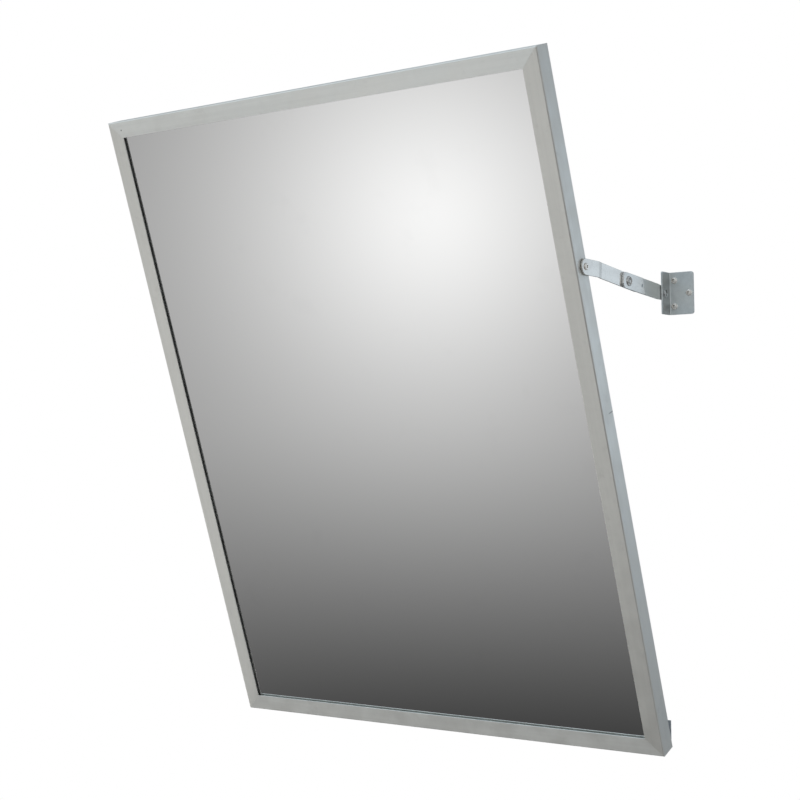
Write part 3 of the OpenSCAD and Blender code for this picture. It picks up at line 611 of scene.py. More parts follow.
class Surface(Enum):
    """Every finish of the mirror, by its use."""

    LEVEL_MEMBER = BrushedSheet(
        "satin_level_member", (0.93, 0.93, 0.885), 0.38,
        anisotropy=0.75, metallic=0.82, edge_wear_and_highlight=0.1, marks=(TINY_DOT,),
    )
    UPRIGHT_MEMBER = replace(
        LEVEL_MEMBER, name="satin_upright_member", grain=Grain.UP_MIRROR, marks=(TINY_DOT, SIDE_SCRATCH)
    )
    MIRROR_LINK = BrushedSheet(
        "bright_mirror_link", (0.73, 0.71, 0.67), 0.24, grain=Grain.ALONG_STAY, metallic=0.8
    )
    # The links' cut edges are lightened: bare sheared metal and a painted highlight.
    WALL_LINK = BrushedSheet(
        "dull_wall_link", (0.62, 0.64, 0.62), 0.4,
        grain=Grain.ALONG_STAY, metallic=0.75, cut_edge_and_highlight=(0.88, 0.9, 0.9),
    )
    SPRING = BrushedSheet(
        "bright_spring", (0.61, 0.6, 0.57), 0.24,
        grain=Grain.ALONG_STAY, metallic=0.8, cut_edge_and_highlight=(0.92, 0.93, 0.93),
    )
    # The bracket's flange gets a painted shade.
    BRACKET = ZincSheet(
        "zinc_bracket", (0.86, 0.91, 0.91), 0.38,
        flake=0.0025, flake_depth=0.05, metallic=0.67, painted_side_shade=0.52,
    )
    BACK_PLATE = ZincSheet(
        "galvanised_back_plate", (0.62, 0.65, 0.66), 0.36, flake=0.008, flake_depth=0.16, metallic=0.82
    )
    HINGE = BrushedSheet("rolled_hinge", (0.66, 0.68, 0.69), 0.34, metallic=0.9)
    SCREW = TurnedMetal("bright_screw", (0.96, 0.94, 0.89), 0.2, metallic=0.55)
    WASHER = TurnedMetal("plain_washer", (0.72, 0.73, 0.73), 0.3)
    RIVET = TurnedMetal("pressed_rivet", (0.74, 0.76, 0.76), 0.24)
    GLASS = SilveredGlass("silvered_glass", (0.955, 0.955, 0.95), 0.0)
    # The tape's upward faces are lightened to grey-green as a painted light.
    TAPE = SoftSolid(
        "black_glazing_tape", (0.03, 0.034, 0.033), 0.7, dust_and_top_light_colour=(0.42, 0.48, 0.46), painted_top_light=0.7
    )
    FOAM = SoftSolid("pale_backing_foam", (0.78, 0.78, 0.76), 0.9, cell=0.0012, dust_and_top_light_colour=(0.6, 0.6, 0.57))
    BOARD = FibreBoard("support_board", (0.52, 0.38, 0.25), 0.8)
    RUBBER = SoftSolid("black_rubber", (0.03, 0.03, 0.031), 0.6, cell=0.0005, relief=0.15)


class Workshop:
    """Holds the finished materials and puts them on objects."""

    def __init__(self) -> None:
        """Builds every finish once."""
        groups = EffectGroups()
        self.materials = {surface: surface.value.build(groups) for surface in Surface}

    def dress(self, piece: Piece, surface: Surface) -> None:
        """Puts one finish on all of a piece.

        Args:
            piece: A new piece or a carried-over node's object.
            surface: The finish.
        """
        if not piece.material_slots:
            piece.data.materials.append(None)
        for slot in piece.material_slots:
            slot.material = self.materials[surface]
        LOG.info("%s is dressed in %s", piece.name, surface.value.name)

    def fit(
        self, pattern: Piece, name: str, place: Matrix, surface: Surface, body: str, node: str, slot: str
    ) -> None:
        """Copies a pattern to its place, dresses the copy and puts it in place of a carried-over node.

        Args:
            pattern: The pattern.
            name: The copy's name.
            place: Where it goes.
            surface: Its finish.
            body: The body that it moves with.
            node: The node that it stands for.
            slot: The record's material slot; not used.
        """
        piece = Bench.set_down(pattern, name, place)
        self.dress(piece, surface)
        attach(piece, body)
        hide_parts(node)

    def dress_nodes(self, surface: Surface, *names: str) -> None:
        """Puts one finish on carried-over nodes."""
        for name in names:
            self.dress(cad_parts[name], surface)


def both_sides(*names: str) -> list[str]:
    """Names of the nodes that exist on the left and on the right."""
    return [f"{name}_{side}" for name in names for side in SIDES]


# ---- Modelling bench ----


class Bench:
    """Mesh modelling with Blender's own tools, as by hand."""

    @staticmethod
    def clear() -> None:
        """Leaves edit mode and deselects everything."""
        if bpy.context.object is not None and bpy.context.object.mode != "OBJECT":
            bpy.ops.object.mode_set(mode="OBJECT")
        bpy.ops.object.select_all(action="DESELECT")

    @classmethod
    def take(cls, *pieces: Piece) -> None:
        """Selects some pieces only.

        Args:
            pieces: The pieces; the first one becomes active.
        """
        cls.clear()
        for piece in pieces:
            piece.select_set(True)
        bpy.context.view_layer.objects.active = pieces[0]

    @classmethod
    def edit(cls, piece: Piece, mode: str) -> None:
        """Opens a piece for editing with everything selected.

        Args:
            piece: The piece.
            mode: What is selected: VERT, EDGE or FACE.
        """
        cls.take(piece)
        bpy.ops.object.mode_set(mode="EDIT")
        bpy.ops.mesh.select_mode(type=mode)
        bpy.ops.mesh.select_all(action="SELECT")

    @classmethod
    def apply(cls, piece: Piece, kind: str, **settings: object) -> None:
        """Adds a modifier to a piece and applies it.

        Args:
            piece: The piece.
            kind: Blender's name of the modifier.
            settings: Its settings.
        """
        cls.take(piece)
        modifier = piece.modifiers.new(kind.lower(), kind)
        for name, value in settings.items():
            setattr(modifier, name, value)
        bpy.ops.object.modifier_apply(modifier=modifier.name)

    @classmethod
    def turned_blank(cls, radius: float, height: float, sides: int = 36) -> Piece:
        """Adds a round blank that stands on the origin along +Z.

        Args:
            radius: Its radius.
            height: Its height.
            sides: Number of sides.

        Returns:
            The blank, open for editing.
        """
        cls.clear()
        middle = (0.0, 0.0, height / 2.0)
        bpy.ops.mesh.primitive_cylinder_add(vertices=sides, radius=radius, depth=height, location=middle)
        blank = bpy.context.object
        bpy.ops.object.transform_apply()
        cls.edit(blank, "FACE")
        return blank

    @classmethod
    def sheet_blank(cls, width: float, depth: float, turn: float, middle: Vector) -> Piece:
        """Adds a flat blank.

        Args:
            width: Its size along X.
            depth: Its other size.
            turn: How far that other size turns from +Y towards +Z.
            middle: Where its middle is.

        Returns:
            The blank.
        """
        cls.clear()
        bpy.ops.mesh.primitive_plane_add(size=1.0, location=middle, rotation=(turn, 0.0, 0.0))
        blank = bpy.context.object
        blank.scale = (width, depth, 1.0)
        bpy.ops.object.transform_apply()
        return blank

    @staticmethod
    def pick(piece: Piece, kind: str, wanted: Callable[[object], bool]) -> None:
        """Selects only what passes a test.

        Args:
            piece: A piece in edit mode.
            kind: What is tested: verts, edges or faces.
            wanted: The test.
        """
        bpy.ops.mesh.select_all(action="DESELECT")
        shape = bmesh.from_edit_mesh(piece.data)
        for element in getattr(shape, kind):
            if wanted(element):
                element.select_set(True)
        if kind == "verts":
            shape.select_flush(True)
        bmesh.update_edit_mesh(piece.data)

    @classmethod
    def pick_faces(cls, piece: Piece, level: float, side: float = 1.0) -> None:
        """Selects the level faces at one height.

        Args:
            piece: A piece in edit mode.
            level: Height of the faces.
            side: 1 for faces that face up, -1 for those that face down.
        """
        facing = 0.9
        cls.pick(
            piece,
            "faces",
            lambda face: abs(face.calc_center_median().z - level) < NEAR and face.normal.z * side > facing,
        )

    @classmethod
    def pick_edge(cls, piece: Piece, spot: Vector) -> None:
        """Selects the edges that run along X through one spot of the YZ plane."""
        cls.pick(piece, "edges", lambda edge: all((end.co - spot).yz.length < NEAR for end in edge.verts))

    @staticmethod
    def draw_out(rise: float, scale: float = 1.0) -> None:
        """Extrudes the selected faces along Z and then scales them about the axis."""
        bpy.ops.mesh.extrude_region_move(TRANSFORM_OT_translate={"value": (0.0, 0.0, rise)})
        bpy.ops.transform.resize(value=(scale, scale, 1.0), center_override=(0.0, 0.0, 0.0))

    @classmethod
    def draw_dome(cls, height: float, turn: float, steps: int) -> None:
        """Draws the selected face up into a dome.

        Args:
            height: Height that a full quarter turn would give.
            turn: Angle that the dome goes up to.
            steps: Number of rings.
        """
        angles = [turn * step / steps for step in range(steps + 1)]
        for before, after in zip(angles, angles[1:]):
            cls.draw_out(height * (math.sin(after) - math.sin(before)), math.cos(after) / math.cos(before))

    @classmethod
    def strip(cls, width: float, path: Sequence[Vector], outward: Vector) -> Piece:
        """Leads a strip of sheet along a path: one leg is placed and its far edge is extruded on.

        Args:
            width: Width along X, from the origin.
            path: Corners of the path in the YZ plane.
            outward: Direction that the first leg faces.

        Returns:
            The strip, without thickness, in edit mode.
        """
        run = path[1] - path[0]
        middle = (path[0] + path[1]) / 2.0
        sheet = cls.sheet_blank(width, run.length, math.atan2(run.z, run.y), middle + ACROSS * width / 2.0)
        cls.edit(sheet, "EDGE")
        for here, there in zip(path[1:], path[2:]):
            cls.pick_edge(sheet, here)
            bpy.ops.mesh.extrude_region_move(TRANSFORM_OT_translate={"value": tuple(there - here)})
        bpy.ops.mesh.select_all(action="SELECT")
        bpy.ops.mesh.normals_make_consistent(inside=False)
        shape = bmesh.from_edit_mesh(sheet.data)
        first = min(shape.faces, key=lambda face: (face.calc_center_median() - middle).yz.length)
        if first.normal.dot(outward) < 0.0:
            bpy.ops.mesh.flip_normals()
        return sheet

    @classmethod
    def round_folds(cls, sheet: Piece, path: Sequence[Vector], radius: float) -> None:
        """Rounds the folds of a strip.

        Args:
            sheet: The strip, in edit mode.
            path: Its path.
            radius: Radius of the folds.
        """
        for before, fold, after in zip(path, path[1:], path[2:]):
            half_turn = (fold - before).angle(after - fold) / 2.0
            cls.pick_edge(sheet, fold)
            bpy.ops.mesh.bevel(offset=radius * math.tan(half_turn), segments=6, affect="EDGES")

    @classmethod
    def round_corners(cls, sheet: Piece, spot: Vector, radius: float) -> None:
        """Rounds the two corners of a strip's end.

        Args:
            sheet: The strip, in edit mode.
            spot: Where its end is on the path.
            radius: Radius of the corners.
        """
        bpy.ops.mesh.select_mode(type="VERT")
        cls.pick_edge(sheet, spot)
        bpy.ops.mesh.bevel(offset=radius, segments=8, affect="VERTICES", clamp_overlap=True)
        bpy.ops.mesh.select_mode(type="EDGE")

    @staticmethod
    def centre(sheet: Piece) -> None:
        """Moves a strip in edit mode sideways so that its middle is on X = 0.

        Args:
            sheet: The strip.
        """
        shape = bmesh.from_edit_mesh(sheet.data)
        width = max(vertex.co.x for vertex in shape.verts)
        bpy.ops.mesh.select_all(action="SELECT")
        bpy.ops.transform.translate(value=(-width / 2.0, 0.0, 0.0))

    @classmethod
    def thicken(cls, sheet: Piece, thickness: float) -> None:
        """Gives a strip its thickness, inwards from its outer face."""
        cls.apply(sheet, "SOLIDIFY", thickness=thickness, offset=-1.0, use_even_offset=True)

    @classmethod
    def saw(cls, piece: Piece, point: Vector, keep: Vector) -> None:
        """Cuts a piece off at a plane and closes the cut.

        Args:
            piece: The piece.
            point: A point of the plane.
            keep: Direction of the part that stays.
        """
        cls.edit(piece, "FACE")
        bpy.ops.mesh.bisect(plane_co=tuple(point), plane_no=tuple(keep), use_fill=True, clear_inner=True)
        cls.clear()

    @classmethod
    def broach(cls, piece: Piece, radius: float, top: float, floor: float) -> None:
        """Takes a hexagon socket out of a piece, from above.

        Args:
            piece: The piece, round about Z.
            radius: Radius of the hexagon's corners.
            top: Height that the broach starts at, clear of the piece.
            floor: Height of the socket's floor.
        """
        cls.clear()
        depth = UPRIGHT * (floor - top)
        bpy.ops.mesh.primitive_cylinder_add(
            vertices=6,
            radius=radius,
            depth=depth.length,
            location=UPRIGHT * (top + floor) / 2.0,
            rotation=depth.to_track_quat("Z", "Y").to_euler(),
        )
        hexagon = bpy.context.object
        cls.apply(piece, "BOOLEAN", operation="DIFFERENCE", solver="EXACT", object=hexagon)
        bpy.data.objects.remove(hexagon)

    @classmethod
    def soften(cls, piece: Piece, width: float, segments: int = 2, above: float = 50.0) -> None:
        """Rounds the edges of a piece that turn by more degrees than a limit."""
        limit = {"limit_method": "ANGLE", "angle_limit": math.radians(above)}
        cls.apply(piece, "BEVEL", width=width, segments=segments, **limit)

    @classmethod
    def set_down(cls, pattern: Piece, name: str, place: Matrix) -> Piece:
        """Copies a pattern to its place, with its own mesh, and finishes its faces and shading.

        Args:
            pattern: The pattern.
            name: The copy's name.
            place: Where it goes; this may mirror it.

        Returns:
            The finished piece, at the origin.
        """
        piece = pattern.copy()
        piece.data = pattern.data.copy()
        piece.data.transform(place)
        piece.name = name
        piece.data.name = name
        bpy.context.scene.collection.objects.link(piece)
        cls.edit(piece, "FACE")
        bpy.ops.mesh.remove_doubles(threshold=2.0 * NEAR)
        bpy.ops.mesh.normals_make_consistent(inside=False)
        bpy.ops.object.mode_set(mode="OBJECT")
        bpy.ops.object.shade_smooth_by_angle(angle=SMOOTH_BELOW)
        cls.apply(piece, "WEIGHTED_NORMAL", keep_sharp=True)
        return piece

    @staticmethod
    def sweep_up(*patterns: Piece) -> None:
        """Removes patterns once their copies are made."""
        for pattern in patterns:
            bpy.data.objects.remove(pattern)


def along(axis: Vector, spot: Vector) -> Matrix:
    """Placement that turns +Z to an axis and moves the origin to a spot."""
    return Matrix.Translation(spot) @ axis.to_track_quat("Z", "Y").to_matrix().to_4x4()


def flat_path(*corners: tuple[float, float]) -> list[Vector]:
    """A path through corners of the YZ plane."""
    return [Vector((0.0, y, z)) for y, z in corners]


@dataclass(frozen=True)
class ScrewForm:
    """Sizes of a screw with a domed head and a hexagon socket; the head stands on the origin."""

    head_radius: float
    head_height: float
    socket_radius: float
    neck_radius: float
    neck_length: float
    thread_radius: float
    thread_length: float
    tip_length: float
    pitch: float = 0.8 * MILLIMETRE
    neck_chamfer: float = 0.3 * MILLIMETRE
    rim_share: float = 0.22
    crown_share: float = 1.25
    socket_share: float = 0.62
    tip_share: float = 0.35

    def build(self) -> Piece:
        """Models the screw.

        Returns:
            The screw, with its head towards +Z.
        """
        head = self.build_head()
        Bench.take(head, self.build_neck(), self.build_thread())
        bpy.ops.object.join()
        return head

    def build_head(self) -> Piece:
        """Models the dome, step by step inwards from its rim, and its socket.

        Returns:
            The head.
        """
        rim = self.rim_share * self.head_height
        head = Bench.turned_blank(self.head_radius, rim)
        Bench.pick_faces(head, rim)
        turn = math.acos(self.crown_share * self.socket_radius / self.head_radius)
        Bench.draw_dome((self.head_height - rim) / math.sin(turn), turn, steps=6)
        floor = (1.0 - self.socket_share) * self.head_height
        Bench.broach(head, self.socket_radius, self.head_height + MILLIMETRE, floor)
        return head

    def build_neck(self) -> Piece:
        """Models the plain neck below the head, with a chamfer at its end.

        Returns:
            The neck.
        """
        neck = Bench.turned_blank(self.neck_radius, 0.2 * self.head_height)
        Bench.pick_faces(neck, 0.0, side=-1.0)
        Bench.draw_out(self.neck_chamfer - self.neck_length)
        Bench.draw_out(-self.neck_chamfer, 1.0 - self.neck_chamfer / self.neck_radius)
        Bench.clear()
        return neck

    def build_thread(self) -> Piece:
        """Models the thread as a ridge wound round the shank, sawn off square and drawn to a tip.

        Returns:
            The threaded shank.
        """
        depth = 0.5 * self.pitch
        middle = self.thread_radius - depth / 2.0
        end = -self.neck_length - self.thread_length
        top = -self.neck_length + 0.4 * self.pitch
        merging = 10.0 * NEAR
        start = Vector((middle, 0.0, end - 1.5 * self.pitch))
        thread = Bench.sheet_blank(depth, self.pitch, QUARTER_TURN, start)
        self.sharpen_ridge(thread, middle)
        turns = math.ceil((top - end) / self.pitch) + 3
        winding = {"axis": "Z", "screw_offset": self.pitch, "iterations": turns}
        merge = {"use_merge_vertices": True, "merge_threshold": merging}
        Bench.apply(thread, "SCREW", steps=20, render_steps=20, **winding, **merge)
        Bench.edit(thread, "VERT")
        bpy.ops.mesh.remove_doubles(threshold=merging)
        Bench.saw(thread, UPRIGHT * end, UPRIGHT)
        Bench.saw(thread, UPRIGHT * top, -UPRIGHT)
        Bench.edit(thread, "FACE")
        bpy.ops.mesh.normals_make_consistent(inside=False)
        Bench.pick_faces(thread, end, side=-1.0)
        Bench.draw_out(-self.tip_length, self.tip_share)
        Bench.clear()
        return thread

    @staticmethod
    def sharpen_ridge(profile: Piece, middle: float) -> None:
        """Turns a flat rectangle into the open V of one thread ridge.

        Args:
            profile: The rectangle in the XZ plane.
            middle: Its middle radius: what is outside becomes the crest, and the inner edge goes.
        """
        Bench.edit(profile, "VERT")
        bpy.ops.mesh.delete(type="ONLY_FACE")
        Bench.pick(profile, "verts", lambda vertex: vertex.co.x > middle)
        bpy.ops.mesh.merge(type="CENTER")
        bpy.ops.mesh.select_mode(type="EDGE")
        Bench.pick(profile, "edges", lambda edge: all(vertex.co.x < middle for vertex in edge.verts))
        bpy.ops.mesh.delete(type="EDGE")
        Bench.clear()


@dataclass(frozen=True)
class BumperForm:
    """Sizes of a moulded rubber bumper; it stands on the origin along +Z."""

    radius: float = 0.009
    height: float = 0.0047
    foot_share: float = 0.25
    ledge_share: float = 0.06
    top_share: float = 0.88
    dish_depth: float = 0.0012
    dish_taper: float = 0.9
    rim_width: float = 0.0024
    pin_radius: float = 0.0016
    rounding: float = 0.0004

    def build(self) -> Piece:
        """Models the bumper with a foot, a rounded rim, and a dish with a pin hole.

        Returns:
            The bumper.
        """
        foot = self.foot_share * self.height
        top_radius = self.top_share * self.radius
        bumper = Bench.turned_blank(self.radius, foot, sides=48)
        Bench.pick_faces(bumper, foot)
        bpy.ops.mesh.inset(thickness=self.ledge_share * self.radius)
        Bench.draw_out(self.height - foot, top_radius / ((1.0 - self.ledge_share) * self.radius))
        bpy.ops.mesh.inset(thickness=self.rim_width)
        Bench.draw_out(-self.dish_depth, self.dish_taper)
        bpy.ops.mesh.inset(thickness=self.dish_taper * (top_radius - self.rim_width) - self.pin_radius)
        Bench.draw_out(-MILLIMETRE)
        Bench.soften(bumper, self.rounding, segments=3, above=40.0)
        return bumper


@dataclass(frozen=True)
class DishedHead:
    """Sizes of a rivet's or stud's head, which stands on the origin: rim, groove and rounded middle."""

    radius: float
    height: float
    groove_outer: float
    groove_inner: float
    middle_height: float
    shank_radius: float
    shank_length: float
    edge_share: float = 0.55
    face_share: float = 0.9
    floor_share: float = 0.12
    groove_taper: float = 0.97

    def build(self) -> Piece:
        """Models the head and its shank.

        Returns:
            The rivet or stud, with its head towards +Z.
        """
        edge, floor = self.edge_share * self.height, self.floor_share * self.height
        head = Bench.turned_blank(self.radius, edge, sides=48)
        Bench.pick_faces(head, edge)
        Bench.draw_out(self.height - edge, self.face_share)
        bpy.ops.mesh.inset(thickness=self.face_share * self.radius - self.groove_outer)
        Bench.draw_out(floor - self.height, self.groove_taper)
        bpy.ops.mesh.inset(thickness=self.groove_taper * self.groove_outer - self.groove_inner)
        Bench.draw_dome(self.middle_height - floor, math.radians(75.0), steps=4)
        Bench.pick_faces(head, 0.0, side=-1.0)
        bpy.ops.mesh.inset(thickness=self.radius - self.shank_radius)
        Bench.draw_out(-self.shank_length)
        Bench.clear()
        return head


# ---- Sub-assemblies ----


def side_place(side: str, place: Matrix) -> Matrix:
    """A placement on the right side, or its mirror image on the left."""
    return Matrix.Scale(-1.0 if side == "left" else 1.0, 4, ACROSS) @ place


@dataclass
class Assembly:
    """What every sub-assembly needs."""

    workshop: Workshop


@dataclass
class MirrorFrame(Assembly):
    """The four mitred channels and what joins them behind."""

    width: float = 0.6
    height: float = 0.78
    depth: float = 0.024
    face_width: float = 0.02
    flange: float = 0.026
    bottom_flange: float = 0.038
    sheet: float = 0.001
    bend: float = 0.0015
    mitre_seam: float = 0.00001
    edge_rounding: float = 0.00012

    def build(self) -> None:
        """Models the channels, and dresses them with the grain along each of them."""
        level, upright = Surface.LEVEL_MEMBER, Surface.UPRIGHT_MEMBER
        for name, length, flange, corner, turn, surface in (
            ("bottom", self.width, self.bottom_flange, (0.0, 0.0, 0.0), 0.0, level),
            ("top", self.width, self.flange, (self.width, 0.0, self.height), math.pi, level),
            ("left", self.height, self.flange, (0.0, 0.0, self.height), QUARTER_TURN, upright),
            ("right", self.height, self.flange, (self.width, 0.0, 0.0), -QUARTER_TURN, upright),
        ):
            pattern = self.build_channel(length, flange)
            place = ON_MIRROR @ Matrix.Translation(corner) @ Matrix.Rotation(turn, 4, "Y")
            new, old = f"folded_channel_{name}", f"frame_{name}"
            self.workshop.fit(pattern, new, place, surface, "mirror", old, "satin_stainless")
            Bench.sweep_up(pattern)
        self.workshop.dress_nodes(Surface.BACK_PLATE, "corner_plates")
        self.workshop.dress_nodes(Surface.RIVET, "corner_rivets")

    def build_channel(self, length: float, flange: float) -> Piece:
        """Folds one channel along X, its outside on Z = 0, and mitres both ends.

        Args:
            length: Length along its outside.
            flange: Width of its back flange.

        Returns:
            The channel.
        """
        path = flat_path((0.0, self.face_width), (0.0, 0.0), (self.depth, 0.0), (self.depth, flange))
        channel = Bench.strip(length, path, FORWARD)
        Bench.round_folds(channel, path, self.bend)
        Bench.thicken(channel, self.sheet)
        Bench.saw(channel, ACROSS * self.mitre_seam, ACROSS - UPRIGHT)
        Bench.saw(channel, ACROSS * (length - self.mitre_seam), -ACROSS - UPRIGHT)
        Bench.soften(channel, self.edge_rounding)
        return channel


@dataclass
class GlassAndBack(Assembly):
    """The silvered glass, what seals and backs it, and the plate that closes the back."""

    plate_back: float = 0.025
    screw_columns: tuple[float, ...] = (0.075, 0.3, 0.525)
    screw_rows: tuple[float, ...] = (0.032, 0.768)
    side_columns: tuple[float, ...] = (0.012, 0.588)
    side_rows: tuple[float, float, int] = (0.095, 0.685, 4)
    bumper_spots: tuple[tuple[float, float], ...] = ((0.045, 0.735), (0.555, 0.735))
    bumper: BumperForm = BumperForm()
    screw: ScrewForm = ScrewForm(
        head_radius=0.00342, head_height=0.0016, socket_radius=0.0013, neck_radius=0.00185,
        neck_length=0.0012, thread_radius=0.0018, thread_length=0.0034, tip_length=0.0013, pitch=0.0009,
    )

    def build(self) -> None:
        """Models the plate's screws and the bumpers, and dresses the layers from the glass to the plate."""
        self.workshop.dress_nodes(Surface.GLASS, "mirror_glass")
        self.workshop.dress_nodes(Surface.TAPE, "glazing_tape")
        self.workshop.dress_nodes(Surface.FOAM, "backing_foam")
        self.workshop.dress_nodes(Surface.BOARD, "support_board")
        self.workshop.dress_nodes(Surface.BACK_PLATE, "back_plate")
        first, last, count = self.side_rows
        rows = [first + (last - first) * index / (count - 1) for index in range(count)]
        screw_spots = [(x, z) for x in self.screw_columns for z in self.screw_rows]
        screw_spots += [(x, z) for x in self.side_columns for z in rows]
        for name, pattern, spots, surface, node, slot in (
            ("plate_screw", self.screw, screw_spots, Surface.SCREW, "back_plate_screws", "bright_fastener"),
            ("bumper", self.bumper, self.bumper_spots, Surface.RUBBER, "rear_bumpers", "black_rubber"),
        ):
            made = pattern.build()
            for number, (x, z) in enumerate(spots, start=1):
                place = ON_MIRROR @ along(-FORWARD, Vector((x, self.plate_back, z)))
                self.workshop.fit(made, f"{name}_{number:02d}", place, surface, "mirror", node, slot)
            Bench.sweep_up(made)


@dataclass
class BottomHinge(Assembly):
    """The continuous hinge between the wall and the mirror's bottom edge."""

    def build(self) -> None:
        """Dresses the leaves, the pin and the rivets."""
        self.workshop.dress_nodes(Surface.HINGE, "hinge_wall_leaf", "hinge_frame_leaf")
        self.workshop.dress_nodes(Surface.RIVET, "hinge_pin", "hinge_rivets")


@dataclass
class FoldingStays(Assembly):
    """The two folding stays with their pivots; layers are counted outwards from the pivots."""

    frame_pivot: Vector = Vector((0.3, -0.19224, 0.5014))
    wall_pivot: Vector = Vector((0.3, -0.0135, 0.4874))
    mirror_link_length: float = 0.11344
    mirror_link_width: float = 0.017
    wall_link_width: float = 0.0176
    link_sheet: float = 0.0015
    pivot_layer: float = 0.0025
    lap_layer: float = 0.0018
    crease: float = 0.0285
    joggle: float = 0.007
    crease_rise: float = 0.0019
    crease_bend: float = 0.002
    wall_link_layer: float = 0.0036
    tail: float = -0.09834
    tail_corner: float = 0.0055
    taper: float = -0.014
    end_radius: float = 0.0076
    round_end: float = 0.985
    spring_layer: float = 0.0043
    spring_sheet: float = 0.0007
    spring_end: float = -0.04934
    spring_slant: float = 0.0031
    stud_along: float = -0.08554
    screw_layer: float = 0.0026
    rivet_layer: float = 0.006
    edge_rounding: float = 0.00018
    pivot_screw: ScrewForm = ScrewForm(
        head_radius=0.0038, head_height=0.0015, socket_radius=0.0019, neck_radius=0.0025, neck_length=0.0046,
        thread_radius=0.0025, thread_length=0.0064, tip_length=0.0005,
    )
    stud: DishedHead = DishedHead(
        radius=0.0054, height=0.00135, groove_outer=0.0043, groove_inner=0.003, middle_height=0.0011,
        shank_radius=0.003, shank_length=0.0021,
    )
    wall_rivet: DishedHead = DishedHead(
        radius=0.0048, height=0.0011, groove_outer=0.0039, groove_inner=0.0023, middle_height=0.0007,
        shank_radius=0.0025, shank_length=0.0038,
    )

    def build(self) -> None:
        """Models the links, springs, studs, pivot screws and rivets, and dresses the rest."""
        lift = Matrix.Rotation(STAY_SLOPE, 4, "X")
        flat = Matrix.Rotation(QUARTER_TURN, 4, "Y")
        at_wall = Matrix.Translation(self.wall_pivot) @ lift
        on_frame, on_wall = Matrix.Translation(self.frame_pivot) @ lift @ flat, at_wall @ flat
        stud_place = at_wall @ along(ACROSS, Vector((self.spring_layer, self.stud_along, 0.0)))
        screw_place = along(ACROSS, self.frame_pivot + ACROSS * self.screw_layer)
        rivet_place = along(ACROSS, self.wall_pivot + ACROSS * self.rivet_layer)
        link, tail, spring = self.build_mirror_link(), self.build_wall_link(), self.build_spring()
        screw, stud, rivet = self.pivot_screw.build(), self.stud.build(), self.wall_rivet.build()
        satin, dull, fastener = "satin_stainless", "dull_stainless", "bright_fastener"
        for side in SIDES:
            outer, inner = f"mirror_stay_{side}", f"wall_stay_{side}"
            for pattern, node, place, surface, body, slot in (
                (link, "mirror_link", on_frame, Surface.MIRROR_LINK, outer, satin),
                (tail, "wall_link", on_wall, Surface.WALL_LINK, inner, dull),
                (spring, "detent_spring", on_wall, Surface.SPRING, inner, satin),
                (stud, "detent_stud", stud_place, Surface.SPRING, inner, fastener),
                (screw, "pivot_screw", screw_place, Surface.SCREW, "mirror", fastener),
                (rivet, "wall_pivot_rivet", rivet_place, Surface.RIVET, "wall_side", fastener),
            ):
                node, place = f"{node}_{side}", side_place(side, place)
                self.workshop.fit(pattern, f"shaped_{node}", place, surface, body, node, slot)
        Bench.sweep_up(link, tail, spring, screw, stud, rivet)
        self.workshop.dress_nodes(Surface.RIVET, *both_sides("knuckle_rivet", "knuckle_tail", "spring_rivet"))
        self.workshop.dress_nodes(Surface.SCREW, *both_sides("pivot_nut"))
        self.workshop.dress_nodes(Surface.WASHER, *both_sides("pivot_washers", "wall_pivot_washer"))
        self.workshop.dress_nodes(Surface.BACK_PLATE, *both_sides("pivot_plate"))

    def build_mirror_link(self) -> Piece:
        """Models the mirror link flat: X across it, Y along it from its pivot, Z outwards.

        Returns:
            The link, joggled at its crease and bent there in its own plane.
        """
        half = self.mirror_link_width / 2.0
        end = self.mirror_link_length
        bend_start = self.crease - MILLIMETRE
        path = flat_path(
            (-half, self.pivot_layer),
            (self.crease, self.pivot_layer),
            (self.crease + self.joggle, self.lap_layer),
            (end + half, self.lap_layer),
        )
        link = Bench.strip(self.mirror_link_width, path, UPRIGHT)
        Bench.round_folds(link, path, self.crease_bend)
        Bench.round_corners(link, path[0], self.round_end * half)
        Bench.round_corners(link, path[-1], self.round_end * half)
        Bench.centre(link)
        rise = math.atan2(self.crease_rise, self.crease)
        fall = rise + math.atan2(self.crease_rise, end - self.crease)
        crease = (-self.crease_rise, self.crease, 0.0)
        for limit, angle, centre in ((-self.crease, rise, (0.0, 0.0, 0.0)), (bend_start, -fall, crease)):
            Bench.pick(link, "verts", lambda vertex, limit=limit: vertex.co.y > limit)
            # The operator turns the other way when Blender has no window.
            bpy.ops.transform.rotate(value=-angle, orient_axis="Z", center_override=centre)
        Bench.thicken(link, self.link_sheet)
        Bench.soften(link, self.edge_rounding)
        return link

    def build_wall_link(self) -> Piece:
        """Models the wall link flat, from its blunt tail to its narrowed round end.

        Returns:
            The link: X across it, Y along it from the wall pivot, Z outwards.
        """
        spots = (self.tail, self.taper, 0.0, self.end_radius)
        path = flat_path(*((y, self.wall_link_layer) for y in spots))
        link = Bench.strip(self.wall_link_width, path, UPRIGHT)
        Bench.centre(link)
        Bench.pick(link, "verts", lambda vertex: vertex.co.y > -MILLIMETRE)
        narrow = 2.0 * self.end_radius / self.wall_link_width
        bpy.ops.transform.resize(value=(narrow, 1.0, 1.0), center_override=(0.0, 0.0, 0.0))
        Bench.round_corners(link, path[0], self.tail_corner)
        Bench.round_corners(link, path[-1], self.round_end * self.end_radius)
        Bench.thicken(link, self.link_sheet)
        Bench.soften(link, self.edge_rounding)
        return link

